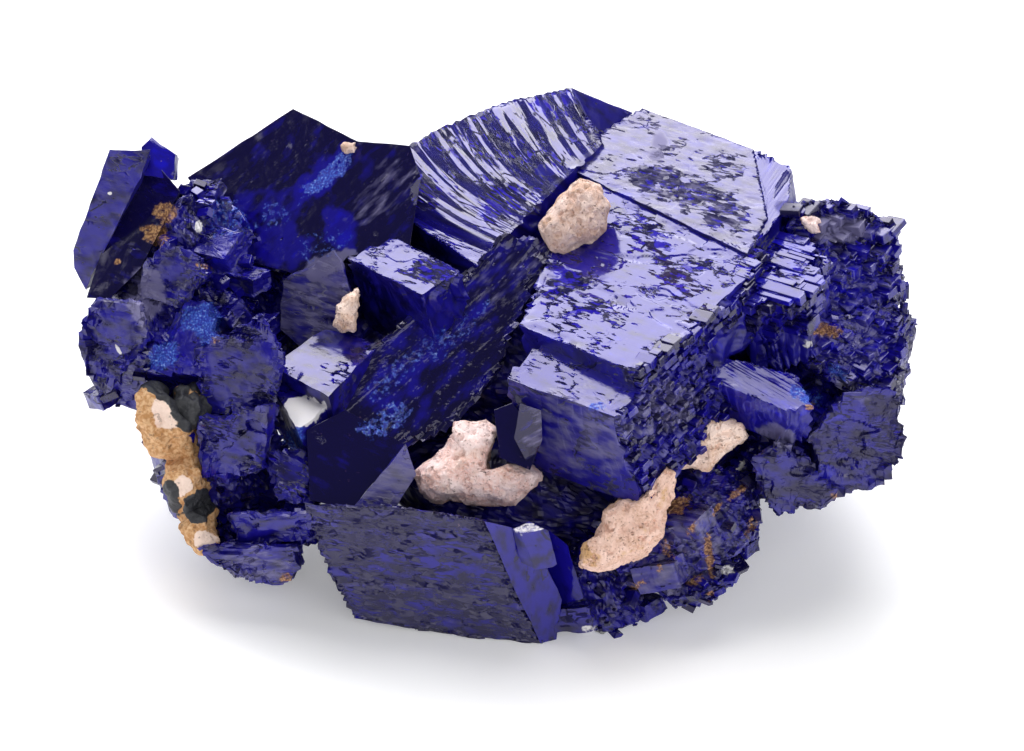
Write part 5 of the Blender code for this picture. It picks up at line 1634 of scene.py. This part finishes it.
AZURITE_GROUPS = (
    CrystalGroup("top_plates", TOP_PLATES, seed=100),
    CrystalGroup("peak_plates", PEAK_PLATES, seed=120),
    CrystalGroup("centre_plates", CENTRE_PLATES, seed=140),
    CrystalGroup("main_block", MAIN_BLOCK, seed=160, smooth=False),
    CrystalGroup("side_plates", SIDE_PLATES, seed=180),
    CrystalGroup("pale_plates", PALE_PLATES, seed=230, smooth=False),
    CrystalGroup("front_block", FRONT_BLOCK, seed=260),
    CrystalGroup("front_crystals", FRONT_CRYSTALS, seed=300, smooth=False),
    CrystalGroup("long_blade", LONG_BLADE, seed=340, smooth=False),
    CrystalGroup("dark_crystal", DARK_CRYSTAL, seed=360, smooth=False),
    CrystalGroup("left_crystals", LEFT_CRYSTALS, seed=380, smooth=False),
    CrystalGroup("right_crystals", RIGHT_CRYSTALS, seed=460, smooth=False),
    StepField("main_block_steps", MAIN_BLOCK[0], 300, (1,), (0.3, 1.5), BRICKS, tip=0.08, sink=0.25, seed=701),
    StepField("centre_plate_steps", CENTRE_PLATES[0], 300, (1, 2, 3), (0.3, 1.9), BRICKS, 0.45, 0.06, 0.35, seed=702),
    StepField("slats", SIDE_PLATES[1], 120, size=(1.0, 4.5), shape=SLATS, sink=0.1, blue=(0.5, 1.2), seed=703),
    StepField("slat_ends", SIDE_PLATES[1], 160, (1, 2, 3), (0.4, 2.4), BRICKS, 0.5, sink=0.35, seed=704),
    StepField("right_slats", SIDE_PLATES[2], 60, size=(0.8, 3.5), shape=SLATS, sink=0.1, blue=(0.5, 1.2), seed=705),
    StepField("right_slat_ends", SIDE_PLATES[2], 90, (0, 1, 2), (0.4, 2.0), BRICKS, 0.5, sink=0.35, seed=706),
    StepField("druse_upper_steps", RIGHT_CRYSTALS[1], 320, (), (0.3, 2.4), BRICKS, tip=0.14, sink=0.40, seed=707),
    StepField("druse_middle_steps", RIGHT_CRYSTALS[3], 160, (), (0.3, 2.2), BRICKS, tip=0.14, sink=0.40, seed=708),
    LumpGroup("core", CORE_LUMPS, BURIED, 0.6, inset=0.9, seed=500),
    LumpGroup("left_rubble", LEFT_LUMPS, RUBBLY, 0.3, 120, tip=0.3, seed=540),
    LumpGroup("right_druse", RIGHT_LUMPS, DRUSE, 0.3, 120, seed=580),
    LumpGroup("front_right_band", BAND_LUMPS, RUBBLY, 0.27, 120, tip=0.3, seed=620),
    LumpGroup("back_crystals", BACK_LUMPS, RUBBLY, 0.42, 200, (0.8, 2.2), seed=660, rubble_cell=0.5),
)


# Studio


@dataclass(frozen=True)
class SoftLight:
    """A square soft light: where it hangs, its distance and side in metres, and how bright it looks."""

    name: str
    direction: tuple
    distance: float
    side: float
    brightness: float
    colour: tuple


@dataclass
class Studio:
    """A pale glowing floor, soft lights around the specimen, a dim room and the front viewpoint."""

    floor_size: float = 4.0
    floor_colour: str = "#F2F2F2"
    floor_glow: float = 0.25
    room_strength: float = 0.12
    lights: tuple = (
        SoftLight("back_light", (-0.22, 0.74, 0.62), 1.6, 1.3, 6.0, (0.98, 0.97, 1.0)),
        SoftLight("top_light", (0.10, 0.25, 0.96), 1.6, 1.1, 4.0, (1.0, 1.0, 1.0)),
        SoftLight("front_fill", (0.25, -0.90, 0.46), 1.8, 1.8, 1.6, (1.0, 1.0, 1.0)),
        SoftLight("left_fill", (-0.86, 0.10, 0.50), 1.6, 1.2, 1.6, (1.0, 1.0, 1.0)),
        SoftLight("right_fill", (0.86, 0.10, 0.50), 1.6, 1.2, 1.6, (1.0, 1.0, 1.0)),
    )

    def floor(self) -> None:
        """A matt sheet, lit a little from below."""
        half = self.floor_size / 2
        data = bpy.data.meshes.new("floor")
        data.from_pydata([(-half, -half, 0), (half, -half, 0), (half, half, 0), (-half, half, 0)], [], [(0, 1, 2, 3)])
        sheet = bpy.data.objects.new("floor", data)
        bpy.context.scene.collection.objects.link(sheet)
        sketch = Sketch("floor_paper")
        shade = sketch.noise(sketch.place(), 0.01, 2.0)
        colour = sketch.blend(shade, linear(self.floor_colour), linear("#EFEFF0"))
        data.materials.append(sketch.finish(
            Base_Color=colour, Roughness=0.9, Emission_Color=(1.0, 1.0, 1.0, 1.0), Emission_Strength=self.floor_glow))

    def light(self, soft: SoftLight) -> None:
        """Hang a soft light so that it looks at the specimen."""
        lamp = bpy.data.lights.new(soft.name, "AREA")
        lamp.shape = "SQUARE"
        lamp.size = soft.side
        lamp.energy = soft.brightness * pi * soft.side ** 2
        lamp.color = soft.colour
        away = Vector(soft.direction).normalized()
        holder = bpy.data.objects.new(soft.name, lamp)
        holder.location = away * soft.distance
        holder.rotation_mode = "QUATERNION"
        holder.rotation_quaternion = away.to_track_quat("Z", "Y")
        bpy.context.scene.collection.objects.link(holder)

    def room(self) -> None:
        """An even dim room."""
        world = bpy.data.worlds.new("room")
        world.use_nodes = True
        back = world.node_tree.nodes["Background"]
        back.inputs["Color"].default_value = (0.92, 0.94, 1.0, 1.0)
        back.inputs["Strength"].default_value = self.room_strength
        bpy.context.scene.world = world

    def viewpoint(self) -> None:
        """The front viewpoint. The lens shows the view's width at the distance of its middle."""
        camera = bpy.data.cameras.new("front_view")
        camera.sensor_width = SENSOR_WIDTH
        camera.lens = SENSOR_WIDTH * VIEW_DISTANCE / VIEW_WIDTH
        camera.clip_start = 0.001
        holder = bpy.data.objects.new("front_view", camera)
        holder.location = Vector((VIEW_TARGET + TO_ORIGIN - VIEW_DISTANCE * AWAY) * MM)
        holder.rotation_mode = "QUATERNION"
        holder.rotation_quaternion = Vector(AWAY).to_track_quat("-Z", "Y")
        bpy.context.scene.collection.objects.link(holder)
        bpy.context.scene.camera = holder

    def build(self) -> None:
        """Set up floor, lights, room and viewpoint."""
        self.floor()
        for soft in self.lights:
            self.light(soft)
        self.room()
        self.viewpoint()
        bpy.context.scene.view_settings.view_transform = "Standard"

def main() -> None:
    """Build every piece and log its faces, then the studio."""
    logging.basicConfig(level=logging.INFO, format="%(message)s")
    for part in (*AZURITE_GROUPS, *CLAY_STONES, LimoniteMatrix()):
        piece = part.build()
        LOG.info("%s: %d faces", piece.name, len(piece.data.polygons))
    Studio().build()


if __name__ == "__main__":
    main()
